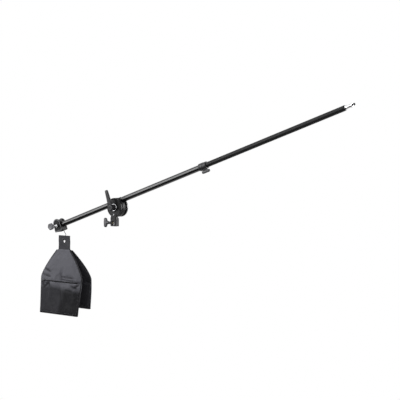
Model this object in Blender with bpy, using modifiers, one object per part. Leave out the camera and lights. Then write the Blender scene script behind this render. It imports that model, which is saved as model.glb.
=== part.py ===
"""Extension arm for a light stand: grip head, telescopic arm, hanging clamp and counterweight bag.

The origin is the centre of the stand socket's mouth. X runs towards the stud, -Y is the lever's side
and Z is up. All sizes are in metres.
"""

import math

import bmesh
import bpy
from mathutils import Matrix, Vector

# Fits that many pieces share
TOUCH = 0.0003            # gap between two pieces that rest on each other
RUN = 0.0003              # radial gap of a piece that turns or slides in another

# Stand socket
SPIGOT_DIAMETER = 0.016
SPIGOT_CLEARANCE = 0.0005
SOCKET_WIDTH = 0.033
SOCKET_DEPTH = 0.022
SOCKET_HEIGHT = 0.038
SOCKET_BORE_DEPTH = 0.030
SOCKET_CORNER = 0.0022
SOCKET_SCREW_HEIGHT = 0.0145
SOCKET_BOSS_LENGTH = 0.0045
SOCKET_WINDOW_WIDTH = 0.015
SOCKET_WINDOW_LOW = 0.0055
SOCKET_WINDOW_HEIGHT = 0.017
NECK_RISE = 0.014

# Round clamp on top of the socket
HINGE_HEIGHT = 0.083
CHEEK_RADIUS = 0.042
CHEEK_THICKNESS = 0.011
CHEEK_RECESS = 0.0012
CHEEK_RIM = 0.004
FRICTION_DISC_THICKNESS = 0.0015
FRONT_JAW_WALL = 0.0023
FRONT_JAW_LIP = 0.0015
REAR_JAW_THICKNESS = 0.0085
REAR_GROOVE_DEPTH = 0.0031
JAW_CHAMFER = 0.0022
LINER_THICKNESS = 0.0015
LINER_INSET = 0.0011
LINER_HALF_LENGTH = 0.031
BOLT_DIAMETER = 0.008
BOLT_HEAD_RADIUS = 0.0075
BOLT_HEAD_HEIGHT = 0.0055
BOLT_WASHER_RADIUS = 0.010
BOLT_WASHER_THICKNESS = 0.0016
DOWEL_DIAMETER = 0.005
DOWEL_CIRCLE_RADIUS = 0.026
DOWEL_ANGLE = math.radians(35)
DOWEL_DEPTH = 0.0060
JAW_SPRING_RADIUS = 0.0066
JAW_SPRING_WIRE = 0.0006
JAW_SPRING_TURNS = 6
JAW_SPRING_POCKET = 0.004

# Lever that turns the clamp nut
THRUST_WASHER_RADIUS = 0.0165
THRUST_WASHER_THICKNESS = 0.0015
NUT_RADIUS = 0.0070
NUT_TEETH = 12
NUT_TOOTH_DEPTH = 0.0008
NUT_LENGTH = 0.0108
LEVER_SCREW_DIAMETER = 0.005
LEVER_SCREW_THREAD = 0.0052
LEVER_SCREW_HEAD_RADIUS = 0.0047
LEVER_SCREW_HEAD_HEIGHT = 0.003
LEVER_HUB_RADIUS = 0.013
LEVER_SHOULDER = 0.0015
LEVER_CHAMBER = 0.0100
LEVER_SPRING_WIRE = 0.0004
LEVER_SPRING_TURNS = 4
LEVER_REACH = 0.080
LEVER_LEAN = math.radians(15.5)
LEVER_RAKE = math.radians(5)
LEVER_ROOT_WIDTH = 0.026
LEVER_TIP_WIDTH = 0.0155
LEVER_BLADE_THICKNESS = 0.0095

# T-shaped knobs of the socket and the lock collar
KNOB_BAR_LENGTH = 0.042
KNOB_BAR_THICKNESS = 0.011
KNOB_NECK_RADIUS = 0.0055
KNOB_ROUNDING = 0.0035
SOCKET_KNOB_REACH = 0.0635
SOCKET_KNOB_BAR_DEPTH = 0.016
SOCKET_KNOB_NECK = 0.017
LOCK_KNOB_REACH = 0.0302
LOCK_KNOB_BAR_DEPTH = 0.0127
LOCK_KNOB_NECK = 0.0005
SCREW_DIAMETER = 0.008
INSERT_WALL = 0.0022
PAD_RADIUS = 0.0052
PAD_THICKNESS = 0.0015
PAD_TRAVEL = 0.0045
PAD_LIFT = 0.0010

# Telescopic arm
ARM_TILT = math.radians(18.2)
ARM_OFFSET = 0.025
LOWER_TUBE_DIAMETER = 0.025
LOWER_TUBE_WALL = 0.0012
UPPER_TUBE_DIAMETER = 0.022
UPPER_TUBE_WALL = 0.0012
TAIL_LENGTH = 0.409
COLLAR_START = 0.499
COLLAR_LENGTH = 0.038
COLLAR_RADIUS = 0.0153
COLLAR_RING_RADIUS = 0.0164
COLLAR_RING_LENGTH = 0.022
COLLAR_OVERLAP = 0.011
COLLAR_BOSS_RADIUS = 0.0085
COLLAR_BOSS_REACH = 0.0166
RIVET_RADIUS = 0.0016
RIVET_HEAD = 0.0007
UPPER_TUBE_END = 1.235
UPPER_TUBE_INSIDE = 0.084
BUSH_LENGTH = 0.012
BUSH_SPIGOT = 0.014
TAIL_PLUG_FLANGE = 0.002
TAIL_PLUG_SPIGOT = 0.018

# Stud at the end of the arm
STUD_DIAMETER = 0.016
STUD_LENGTH = 0.0345
STUD_SHANK = 0.030
STUD_GROOVE_DEPTH = 0.0012
STUD_GROOVE_LENGTH = 0.014
STUD_TIP_DIAMETER = 0.0095
STUD_TIP_LENGTH = 0.011
STUD_TIP_ENGAGEMENT = 0.010
PIN_RADIUS = 0.0020

# Hanging clamp on the tail
HANGER_FROM_TAIL = 0.026
HANGER_ROLL = math.radians(3)
HANGER_HALF_LENGTH = 0.0235
HANGER_TOP = 0.032
HANGER_BOTTOM = 0.0270
HANGER_HALF_WIDTH = 0.0190
HANGER_PLATE = 0.0045
HANGER_RIM = 0.0045
HANGER_RECESS = 0.0018
HANGER_SLEEVE_WALL = 0.0037
HANGER_BRIDGE_HALF = 0.012
HANGER_ROD_RADIUS = 0.0025
HANGER_ROD_BACK = 0.005
HANGER_WALL = 0.0038
HANGER_BOSS_RADIUS = 0.0072
HANGER_BOSS_HEIGHT = 0.003
HANGER_SCREW_REACH = 0.065
STAR_KNOB_RADIUS = 0.0160
STAR_KNOB_DEPTH = 0.013
STAR_KNOB_LOBES = 6
STAR_KNOB_NECK = 0.011

# Hook
HOOK_WIRE = 0.003
HOOK_UPPER_RADIUS = 0.0058
HOOK_LOWER_RADIUS = 0.0090
HOOK_CROSSING_LEAN = math.radians(35)
HOOK_ALONG_ROD = 0.0160
EYELET_CENTRE_DROP = 0.0555

# Bag
EYELET_HOLE_RADIUS = 0.0075
EYELET_RING_WIDTH = 0.0030
EYELET_RING_THICKNESS = 0.0008
TAB_WIDTH = 0.075
TAB_HEIGHT = 0.074
TAB_THICKNESS = 0.0035
TAB_ABOVE_EYELET = 0.0265
POCKET_LAP = 0.010
FRONT_POCKET_HEIGHT = 0.302
REAR_POCKET_HEIGHT = 0.276
POCKET_TOP_WIDTH = 0.080
POCKET_WIDTH = 0.270
POCKET_FOOT_WIDTH = 0.246
POCKET_SHOULDER_HEIGHT = 0.135
POCKET_THICKNESS = 0.030
POCKET_EDGE_THICKNESS = 0.006
FRONT_POCKET_SWING = math.radians(-6.6)
REAR_POCKET_SWING = math.radians(7.7)
REAR_POCKET_BULGE = 0.015
ZIP_DROP = 0.150
ZIP_LENGTH = 0.220
ZIP_WIDTH = 0.007
ZIP_THICKNESS = 0.0012
SLIDER_WIDTH = 0.009
SLIDER_LENGTH = 0.012
SLIDER_THICKNESS = 0.003

# Facets of round pieces
FINE = 48
MEDIUM = 32
COARSE = 20

# Places that follow from the sizes above, along Y through the clamp
CHEEK_FRONT = -CHEEK_THICKNESS / 2
CHEEK_REAR = CHEEK_THICKNESS / 2
FRICTION_FRONT = CHEEK_REAR + TOUCH
FRICTION_REAR = FRICTION_FRONT + FRICTION_DISC_THICKNESS
TUBE_RADIUS = LOWER_TUBE_DIAMETER / 2
LINER_OUTER = TUBE_RADIUS + TOUCH + LINER_THICKNESS
GROOVE_RADIUS = LINER_OUTER + TOUCH
FRONT_JAW_FRONT = FRICTION_REAR + TOUCH
ARM_Y = FRONT_JAW_FRONT + FRONT_JAW_WALL + GROOVE_RADIUS
FRONT_JAW_REAR = ARM_Y + FRONT_JAW_LIP
REAR_JAW_FRONT = ARM_Y + GROOVE_RADIUS - REAR_GROOVE_DEPTH
REAR_JAW_REAR = REAR_JAW_FRONT + REAR_JAW_THICKNESS
THRUST_REAR = CHEEK_FRONT - TOUCH
THRUST_FRONT = THRUST_REAR - THRUST_WASHER_THICKNESS
NUT_REAR = THRUST_FRONT - TOUCH
NUT_FRONT = NUT_REAR - NUT_LENGTH
LEVER_SHOULDER_REAR = NUT_FRONT - TOUCH
LEVER_SHOULDER_FRONT = LEVER_SHOULDER_REAR - LEVER_SHOULDER
LEVER_HUB_FRONT = LEVER_SHOULDER_FRONT - LEVER_CHAMBER
LEVER_SCREW_HEAD_REAR = LEVER_HUB_FRONT + LEVER_SCREW_HEAD_HEIGHT
BOLT_RADIUS = BOLT_DIAMETER / 2
BOLT_END = NUT_FRONT + LEVER_SCREW_THREAD + TOUCH

# Places along the arm, measured from the foot of the hinge on its axis
UPPER_RADIUS = UPPER_TUBE_DIAMETER / 2
COLLAR_END = COLLAR_START + COLLAR_LENGTH
LOWER_TUBE_END = COLLAR_START + COLLAR_OVERLAP
LOCK_PLACE = LOWER_TUBE_END + COLLAR_BOSS_RADIUS + 0.005
UPPER_TUBE_START = COLLAR_START - UPPER_TUBE_INSIDE
HANGER_PLACE = -TAIL_LENGTH + HANGER_FROM_TAIL
BORE_RADIUS = (SPIGOT_DIAMETER + 2 * SPIGOT_CLEARANCE) / 2
SCREW_RADIUS = SCREW_DIAMETER / 2
INSERT_RADIUS = SCREW_RADIUS + RUN + INSERT_WALL
PAD_BORE_RADIUS = PAD_RADIUS + RUN

for old in list(bpy.data.objects):
    bpy.data.objects.remove(old, do_unlink=True)

PARTS = bpy.data.collections.new("extension_arm")
CUTTERS = bpy.data.collections.new("cutters")
bpy.context.scene.collection.children.link(PARTS)
bpy.context.scene.collection.children.link(CUTTERS)


def paint(name, colour, metallic, roughness):
    """Principled material with one colour."""
    material = bpy.data.materials.new(name)
    material.use_nodes = True
    shader = material.node_tree.nodes["Principled BSDF"]
    shader.inputs["Base Color"].default_value = (*colour, 1.0)
    shader.inputs["Metallic"].default_value = metallic
    shader.inputs["Roughness"].default_value = roughness
    return material


CASTING = paint("casting_grey", (0.085, 0.085, 0.09), 0.3, 0.5)
BLACK_TUBE = paint("tube_gloss_black", (0.02, 0.02, 0.022), 0.4, 0.25)
MATT_TUBE = paint("tube_satin_black", (0.03, 0.03, 0.032), 0.4, 0.4)
STEEL = paint("steel_bright", (0.62, 0.62, 0.63), 1.0, 0.25)
DARK_STEEL = paint("steel_dark", (0.06, 0.06, 0.06), 1.0, 0.4)
PLASTIC = paint("plastic_black", (0.07, 0.07, 0.075), 0.0, 0.5)
RUBBER = paint("rubber_black", (0.02, 0.02, 0.02), 0.0, 0.85)
BRASS = paint("brass", (0.6, 0.45, 0.2), 1.0, 0.35)
CLOTH = paint("cloth_black", (0.06, 0.06, 0.065), 0.0, 0.9)


def frame(name, matrix):
    """Empty that carries the pieces of one moving group."""
    empty = bpy.data.objects.new(name, None)
    PARTS.objects.link(empty)
    empty.empty_display_size = 0.02
    empty.matrix_world = matrix
    return empty


ARM_MATRIX = (
    Matrix.Translation((0, 0, HINGE_HEIGHT))
    @ Matrix.Rotation(-ARM_TILT, 4, "Y")
    @ Matrix.Translation((0, ARM_Y, ARM_OFFSET))
)
HANGER_MATRIX = ARM_MATRIX @ Matrix.Translation((HANGER_PLACE, 0, 0)) @ Matrix.Rotation(HANGER_ROLL, 4, "X")
HINGE = frame("hinge_frame", Matrix.Translation((0, 0, HINGE_HEIGHT)))
JAWS = frame("jaw_frame", Matrix.Translation((0, 0, HINGE_HEIGHT)) @ Matrix.Rotation(-ARM_TILT, 4, "Y"))
ARM = frame("arm_frame", ARM_MATRIX)
HANGER = frame("hanger_frame", HANGER_MATRIX)

ALONG_X = Matrix.Rotation(math.pi / 2, 4, "Y")
ALONG_Y = Matrix.Rotation(-math.pi / 2, 4, "X")
ALONG_Z = Matrix.Identity(4)
DOWN = Matrix.Rotation(math.pi, 4, "X")
BACK_X = Matrix.Rotation(-math.pi / 2, 4, "Y")
BACK_Y = Matrix.Rotation(math.pi / 2, 4, "X")


def put(obj, material, parent=None, place=None):
    """Link a piece, colour it and place it in its parent's frame."""
    PARTS.objects.link(obj)
    if material:
        obj.data.materials.append(material)
    obj.parent = parent
    obj.matrix_local = place or Matrix.Identity(4)
    return obj


def as_cutter(obj):
    """Move an object among the cutters."""
    PARTS.objects.unlink(obj)
    CUTTERS.objects.link(obj)
    obj.hide_render = True
    obj.display_type = "WIRE"
    return obj


def shade(obj, angle=35):
    """Smooth shading with sharp edges where the surface turns."""
    obj.data.shade_smooth()
    obj.data.set_sharp_from_angle(angle=math.radians(angle))
    return obj


def mesh_object(name, bm, material, parent=None, place=None):
    """Object from a bmesh, which is freed."""
    mesh = bpy.data.meshes.new(name)
    bm.to_mesh(mesh)
    bm.free()
    return put(bpy.data.objects.new(name, mesh), material, parent, place)


def box(name, low, high, material, parent=None, place=None, rounding=0.0, segments=2):
    """Box between two corners, with rounded edges."""
    bm = bmesh.new()
    size = [b - a for a, b in zip(low, high)]
    centre = [(a + b) / 2 for a, b in zip(low, high)]
    bmesh.ops.create_cube(bm, size=1.0, matrix=Matrix.Translation(centre) @ Matrix.Diagonal((*size, 1.0)))
    obj = mesh_object(name, bm, material, parent, place)
    if rounding:
        bevel = obj.modifiers.new("rounding", "BEVEL")
        bevel.width = rounding
        bevel.segments = segments
    return shade(obj)


def rod(name, radius, start, end, material, parent=None, place=None, facets=COARSE, end_radius=None):
    """Cylinder or cone along the placed Z axis, from start to end."""
    bm = bmesh.new()
    bmesh.ops.create_cone(
        bm,
        cap_ends=True,
        segments=facets,
        radius1=radius,
        radius2=radius if end_radius is None else end_radius,
        depth=end - start,
        matrix=Matrix.Translation((0, 0, (start + end) / 2)),
    )
    return shade(mesh_object(name, bm, material, parent, place))


def turned(name, profile, material, parent=None, place=None, facets=MEDIUM, closed=False):
    """Profile of (radius, height) pairs turned about the placed Z axis; the outer side runs downwards."""
    bm = bmesh.new()
    points = [bm.verts.new((radius, 0, height)) for radius, height in profile]
    for first, second in zip(points, points[1:]):
        bm.edges.new((first, second))
    if closed:
        bm.edges.new((points[-1], points[0]))
    obj = mesh_object(name, bm, material, parent, place)
    screw = obj.modifiers.new("turn", "SCREW")
    screw.axis = "Z"
    screw.angle = 2 * math.pi
    screw.steps = facets
    screw.render_steps = facets
    screw.use_merge_vertices = True
    screw.merge_threshold = 0.00002
    screw.use_smooth_shade = True
    return obj


def ring(name, outer, inner, start, end, material, parent=None, place=None, facets=MEDIUM):
    """Plain tube or washer along the placed Z axis."""
    profile = [(outer, end), (outer, start), (inner, start), (inner, end)]
    return turned(name, profile, material, parent, place, facets, closed=True)


def solid_of(obj):
    """Swap an object for a plain mesh of its evaluated shape, in the same place."""
    bpy.context.view_layer.update()
    evaluated = obj.evaluated_get(bpy.context.evaluated_depsgraph_get())
    mesh = bpy.data.meshes.new_from_object(evaluated)
    name, parent, local, world = obj.name, obj.parent, obj.matrix_local.copy(), obj.matrix_world.copy()
    is_curve = obj.type == "CURVE"
    bpy.data.objects.remove(obj, do_unlink=True)
    if is_curve:
        bm = bmesh.new()
        bm.from_mesh(mesh)
        bmesh.ops.remove_doubles(bm, verts=bm.verts, dist=0.00001)
        bm.to_mesh(mesh)
        bm.free()
    new = bpy.data.objects.new(name, mesh)
    PARTS.objects.link(new)
    if parent:
        new.parent = parent
        new.matrix_local = local
    else:
        new.matrix_world = world
    return new


def plate(name, outline, low, high, material, parent=None, place=None):
    """Flat outline of (x, z) points, as thick as from y=low to y=high."""
    curve = bpy.data.curves.new(name, "CURVE")
    curve.dimensions = "2D"
    curve.fill_mode = "BOTH"
    curve.extrude = (high - low) / 2
    spline = curve.splines.new("POLY")
    spline.points.add(len(outline) - 1)
    for point, (x, z) in zip(spline.points, outline):
        point.co = (x, z, 0, 1)
    spline.use_cyclic_u = True
    local = (place or Matrix.Identity(4)) @ Matrix.Translation((0, (low + high) / 2, 0)) @ BACK_Y
    return shade(solid_of(put(bpy.data.objects.new(name, curve), material, parent, local)))


def wire(name, points, thickness, material, parent=None, place=None, resolution=1):
    """Round wire through the points, with closed ends."""
    curve = bpy.data.curves.new(name, "CURVE")
    curve.dimensions = "3D"
    curve.bevel_depth = thickness / 2
    curve.bevel_resolution = resolution
    curve.use_fill_caps = True
    spline = curve.splines.new("POLY")
    spline.points.add(len(points) - 1)
    for point, place_on_wire in zip(spline.points, points):
        point.co = (*place_on_wire, 1)
    return shade(solid_of(put(bpy.data.objects.new(name, curve), material, parent, place)), 50)


def boolean(target, tool, operation):
    """Join a tool to a target, or cut it out."""
    modifier = target.modifiers.new(tool.name, "BOOLEAN")
    modifier.operation = operation
    modifier.object = as_cutter(tool)
    modifier.solver = "EXACT"


def cut(target, *tools):
    """Cut each tool out of the target."""
    for tool in tools:
        boolean(target, tool, "DIFFERENCE")


def join(target, *tools):
    """Fuse each tool with the target."""
    for tool in tools:
        boolean(target, tool, "UNION")


def arc(centre, radius, start, end, count):
    """Points on an arc in a plane, angles in radians."""
    steps = [start + (end - start) * step / count for step in range(count + 1)]
    return [(centre[0] + radius * math.cos(a), centre[1] + radius * math.sin(a)) for a in steps]


def coil(radius, start, end, turns):
    """Points of a helix about Z, eight a turn, between the wire's end centres."""
    count = turns * 8
    points = []
    for step in range(count + 1):
        angle = 2 * math.pi * step / 8
        height = start + (end - start) * step / count
        points.append((radius * math.cos(angle), radius * math.sin(angle), height))
    return points


def print_least_gap(name, points, thickness):
    """Print the least gap between a wound wire and its own next turns, measured on its points."""
    gaps = [
        math.dist(first, second) - thickness
        for number, first in enumerate(points)
        for second in points[number + 5:]
    ]
    print(f"{name}: least gap to itself {min(gaps) * 1000:.2f} mm")


# Socket casting: block with the stand bore, a neck and the round cheek
cheek_profile = [
    (0, CHEEK_REAR),
    (CHEEK_RADIUS - 0.001, CHEEK_REAR),
    (CHEEK_RADIUS, CHEEK_REAR - 0.001),
    (CHEEK_RADIUS, CHEEK_FRONT + 0.0015),
    (CHEEK_RADIUS - 0.0015, CHEEK_FRONT),
    (CHEEK_RADIUS - CHEEK_RIM, CHEEK_FRONT),
    (CHEEK_RADIUS - CHEEK_RIM - CHEEK_RECESS, CHEEK_FRONT + CHEEK_RECESS),
    (THRUST_WASHER_RADIUS + 0.002 + CHEEK_RECESS, CHEEK_FRONT + CHEEK_RECESS),
    (THRUST_WASHER_RADIUS + 0.002, CHEEK_FRONT),
    (0, CHEEK_FRONT),
]
socket_casting = turned("socket_casting", cheek_profile, CASTING, HINGE, ALONG_Y, FINE)
half_depth = SOCKET_DEPTH / 2
half_width = SOCKET_WIDTH / 2
neck_rear = CHEEK_REAR - 0.0004
neck_front = CHEEK_FRONT + 0.0003
neck_top = SOCKET_HEIGHT + NECK_RISE
block_outline = [
    (-half_depth, 0),
    (half_depth, 0),
    (half_depth, SOCKET_HEIGHT - SOCKET_CORNER),
    (half_depth - SOCKET_CORNER, SOCKET_HEIGHT),
    (neck_rear, SOCKET_HEIGHT),
    (neck_rear, neck_top),
    (neck_front, neck_top),
    (-half_depth, SOCKET_HEIGHT),
]
across_x = Matrix.Rotation(math.pi / 2, 4, "Z")
block = plate("socket_block", block_outline, -half_width, half_width, CASTING, None, across_x)
block_rounding = block.modifiers.new("rounding", "BEVEL")
block_rounding.width = SOCKET_CORNER
block_rounding.segments = 2
block_rounding.limit_method = "ANGLE"
block_rounding.angle_limit = math.radians(60)
boss_end = half_width + SOCKET_BOSS_LENGTH
screw_side = Matrix.Translation((0, 0, SOCKET_SCREW_HEIGHT)) @ BACK_X
boss_radius = INSERT_RADIUS + 0.0026
boss = rod("socket_boss", boss_radius, half_width - 0.001, boss_end, CASTING, None, screw_side)
stand_bore = rod("stand_bore", BORE_RADIUS, -0.005, SOCKET_BORE_DEPTH, None, None, ALONG_Z, MEDIUM)
pad_room_end = BORE_RADIUS + PAD_THICKNESS + PAD_TRAVEL + TOUCH
pad_bore = rod("pad_bore", PAD_BORE_RADIUS, 0.003, pad_room_end + 0.001, None, None, screw_side)
insert_hole = INSERT_RADIUS + TOUCH
insert_bore = rod("insert_bore", insert_hole, pad_room_end, boss_end + 0.002, None, None, screw_side)
window_half = SOCKET_WINDOW_WIDTH / 2
window = box(
    "socket_window",
    (-window_half, -half_depth - 0.004, SOCKET_WINDOW_LOW),
    (window_half, 0, SOCKET_WINDOW_LOW + SOCKET_WINDOW_HEIGHT),
    None,
)
bolt_hole = rod("cheek_bolt_hole", BOLT_RADIUS + RUN, -0.03, 0.03, None, HINGE, ALONG_Y)
join(socket_casting, block, boss)
cut(socket_casting, stand_bore, pad_bore, insert_bore, window, bolt_hole)

# Socket screw, pushed against the stand's spigot by its knob
insert_start = pad_room_end + TOUCH
screw_room = SCREW_RADIUS + RUN
ring("socket_insert", INSERT_RADIUS, screw_room, insert_start, boss_end, BRASS, None, screw_side, COARSE)
pad_face = BORE_RADIUS - TOUCH
pad_back = pad_face + PAD_THICKNESS
rod("socket_pad", PAD_RADIUS, pad_face, pad_back, BRASS, None, screw_side)


def knob_outline(reach, depth, neck):
    """Side view of a T-knob: bar, and a neck that widens towards it."""
    inner = reach - depth
    half = KNOB_BAR_LENGTH / 2
    waist = KNOB_NECK_RADIUS
    return [
        (inner - neck, waist * 0.75),
        (inner, waist * 1.9),
        (inner + depth * 0.12, half * 0.93),
        (inner + depth * 0.25, half),
        (reach - depth * 0.15, half * 0.98),
        (reach, half * 0.85),
        (reach, -half * 0.85),
        (reach - depth * 0.15, -half * 0.98),
        (inner + depth * 0.25, -half),
        (inner + depth * 0.12, -half * 0.93),
        (inner, -waist * 1.9),
        (inner - neck, -waist * 0.75),
    ]


def t_knob(name, reach, depth, neck, screw_start, parent, place):
    """T-knob moulded over the end of its steel screw; local X is the screw's axis, pointing outwards."""
    half = KNOB_BAR_THICKNESS / 2
    knob = plate(name + "_knob", knob_outline(reach, depth, neck), -half, half, PLASTIC, parent, place)
    bevel = knob.modifiers.new("rounding", "BEVEL")
    bevel.width = KNOB_ROUNDING * 0.6
    bevel.segments = 2
    bevel.limit_method = "ANGLE"
    bevel.angle_limit = math.radians(60)
    inner = reach - depth - neck
    seat_end = reach - depth * 0.3
    hole_radius = SCREW_RADIUS + TOUCH
    hole = rod(name + "_knob_hole", hole_radius, inner - 0.02, seat_end, None, parent, place @ ALONG_X)
    hub_radius = SCREW_RADIUS + 0.003
    hub = rod(
        name + "_knob_hub",
        hub_radius,
        inner,
        reach - depth * 0.5,
        None,
        parent,
        place @ ALONG_X,
        COARSE,
        hub_radius + 0.001,
    )
    join(knob, hub)
    cut(knob, hole)
    rod(name + "_screw", SCREW_RADIUS, screw_start, seat_end - TOUCH, STEEL, parent, place @ ALONG_X)
    return knob


socket_knob_place = Matrix.Translation((0, 0, SOCKET_SCREW_HEIGHT)) @ Matrix.Rotation(math.pi, 4, "Z")
t_knob(
    "socket",
    SOCKET_KNOB_REACH,
    SOCKET_KNOB_BAR_DEPTH,
    SOCKET_KNOB_NECK,
    pad_back + TOUCH,
    None,
    socket_knob_place,
)

# Friction disc and the two jaws with their rubber liners
ring(
    "friction_disc",
    CHEEK_RADIUS - 0.002,
    BOLT_RADIUS + RUN,
    FRICTION_FRONT,
    FRICTION_REAR,
    RUBBER,
    JAWS,
    ALONG_Y,
    FINE,
)
groove_place = Matrix.Translation((0, ARM_Y, ARM_OFFSET)) @ ALONG_X
dowel_spots = [
    (DOWEL_CIRCLE_RADIUS * math.cos(angle), -DOWEL_CIRCLE_RADIUS * math.sin(angle))
    for angle in (DOWEL_ANGLE, math.pi - DOWEL_ANGLE)
]


def jaw(name, low, high, outer_face_high, gap_face):
    """Round jaw with a groove for the tube; gap_face is its face at the gap between the jaws."""
    low_chamfer = 0.0006 if outer_face_high else JAW_CHAMFER * 0.4
    high_chamfer = JAW_CHAMFER if outer_face_high else 0.0006
    profile = [
        (0, high),
        (CHEEK_RADIUS - high_chamfer, high),
        (CHEEK_RADIUS, high - high_chamfer),
        (CHEEK_RADIUS, low + low_chamfer),
        (CHEEK_RADIUS - low_chamfer, low),
        (0, low),
    ]
    obj = turned(name, profile, CASTING, JAWS, ALONG_Y, FINE)
    inward = 1 if gap_face == low else -1
    groove = rod(name + "_groove", GROOVE_RADIUS, -0.06, 0.06, None, JAWS, groove_place, MEDIUM)
    hole = rod(name + "_bolt_hole", BOLT_RADIUS + RUN, low - 0.01, high + 0.01, None, JAWS, ALONG_Y)
    pocket_ends = sorted((gap_face - inward * 0.002, gap_face + inward * JAW_SPRING_POCKET))
    pocket_radius = JAW_SPRING_RADIUS + JAW_SPRING_WIRE + RUN
    pocket = rod(name + "_spring_pocket", pocket_radius, *pocket_ends, None, JAWS, ALONG_Y)
    cut(obj, groove, hole, pocket)
    for number, (x, z) in enumerate(dowel_spots):
        ends = sorted((gap_face - inward * 0.002, gap_face + inward * DOWEL_DEPTH))
        spot = Matrix.Translation((x, 0, z)) @ ALONG_Y
        cut(obj, rod(f"{name}_dowel_hole_{number}", DOWEL_DIAMETER / 2 + RUN, *ends, None, JAWS, spot))
    return obj


jaw("front_jaw", FRONT_JAW_FRONT, FRONT_JAW_REAR, False, FRONT_JAW_REAR)
jaw("rear_jaw", REAR_JAW_FRONT, REAR_JAW_REAR, True, REAR_JAW_FRONT)


def liner(name, middle, edge):
    """Rubber strip that lines a jaw's groove, centred at an angle; edge is how far it ends from the axis."""
    reach = math.acos(edge / LINER_OUTER)
    outer = arc((0, 0), LINER_OUTER, middle - reach, middle + reach, 16)
    inner = arc((0, 0), TUBE_RADIUS + TOUCH, middle + reach, middle - reach, 16)
    place = Matrix.Translation((0, ARM_Y, ARM_OFFSET)) @ Matrix.Rotation(math.pi / 2, 4, "Z")
    return plate(name, outer + inner, -LINER_HALF_LENGTH, LINER_HALF_LENGTH, RUBBER, JAWS, place)


liner("front_liner", math.pi, LINER_INSET)
liner("rear_liner", 0, GROOVE_RADIUS - REAR_GROOVE_DEPTH + LINER_INSET * 0.5)
for number, (x, z) in enumerate(dowel_spots):
    side_name = ("right", "left")[number]
    dowel_start = FRONT_JAW_REAR - DOWEL_DEPTH + TOUCH
    dowel_end = REAR_JAW_FRONT + DOWEL_DEPTH - TOUCH
    spot = Matrix.Translation((x, 0, z)) @ ALONG_Y
    rod("dowel_" + side_name, DOWEL_DIAMETER / 2, dowel_start, dowel_end, STEEL, JAWS, spot, 16)
spring_start = FRONT_JAW_REAR - JAW_SPRING_POCKET + JAW_SPRING_WIRE + TOUCH
spring_end = REAR_JAW_FRONT + JAW_SPRING_POCKET - JAW_SPRING_WIRE - TOUCH
spring_points = coil(JAW_SPRING_RADIUS, spring_start, spring_end, JAW_SPRING_TURNS)
wire("jaw_spring", spring_points, 2 * JAW_SPRING_WIRE, STEEL, JAWS, ALONG_Y)
print_least_gap("jaw_spring", spring_points, 2 * JAW_SPRING_WIRE)

# Bolt through the whole clamp
washer_start = REAR_JAW_REAR + TOUCH
washer_end = washer_start + BOLT_WASHER_THICKNESS
head_start = washer_end + TOUCH
ring("bolt_washer", BOLT_WASHER_RADIUS, BOLT_RADIUS + RUN, washer_start, washer_end, STEEL, JAWS, ALONG_Y)
bolt = rod("centre_bolt", BOLT_RADIUS, BOLT_END, head_start + 0.001, STEEL, JAWS, ALONG_Y)
bolt_head_end = head_start + BOLT_HEAD_HEIGHT
join(bolt, rod("bolt_head", BOLT_HEAD_RADIUS, head_start, bolt_head_end, STEEL, JAWS, ALONG_Y, 6))

# Bright thrust washer, serrated nut, and the lever that grips the nut
ring(
    "thrust_washer",
    THRUST_WASHER_RADIUS,
    BOLT_RADIUS + RUN,
    THRUST_FRONT,
    THRUST_REAR,
    STEEL,
    HINGE,
    ALONG_Y,
    FINE,
)


def serrated(radius, depth):
    """Toothed outline of the nut."""
    points = []
    for step in range(2 * NUT_TEETH):
        reach = radius - depth * (step % 2)
        angle = math.pi * step / NUT_TEETH
        points.append((reach * math.cos(angle), reach * math.sin(angle)))
    return points


clamp_nut = plate("clamp_nut", serrated(NUT_RADIUS, NUT_TOOTH_DEPTH), NUT_FRONT, NUT_REAR, STEEL, HINGE)
screw_tip = NUT_FRONT + LEVER_SCREW_THREAD
cut(
    clamp_nut,
    rod("nut_thread", BOLT_RADIUS + RUN, screw_tip - TOUCH, NUT_REAR + 0.01, None, HINGE, ALONG_Y),
    rod("nut_screw_hole", LEVER_SCREW_DIAMETER / 2 + RUN, NUT_FRONT - 0.01, screw_tip, None, HINGE, ALONG_Y),
)
lever_screw = rod(
    "lever_screw",
    LEVER_SCREW_DIAMETER / 2,
    LEVER_SCREW_HEAD_REAR - 0.001,
    screw_tip - 2 * TOUCH,
    STEEL,
    HINGE,
    ALONG_Y,
)
screw_head = rod(
    "lever_screw_head",
    LEVER_SCREW_HEAD_RADIUS,
    LEVER_HUB_FRONT,
    LEVER_SCREW_HEAD_REAR,
    None,
    HINGE,
    ALONG_Y,
)
socket_floor = LEVER_HUB_FRONT + 0.002
socket_top = LEVER_HUB_FRONT - 0.01
screw_socket = rod("lever_screw_socket", 0.0022, socket_top, socket_floor, None, HINGE, ALONG_Y, 6)
join(lever_screw, screw_head)
cut(lever_screw, screw_socket)

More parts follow.
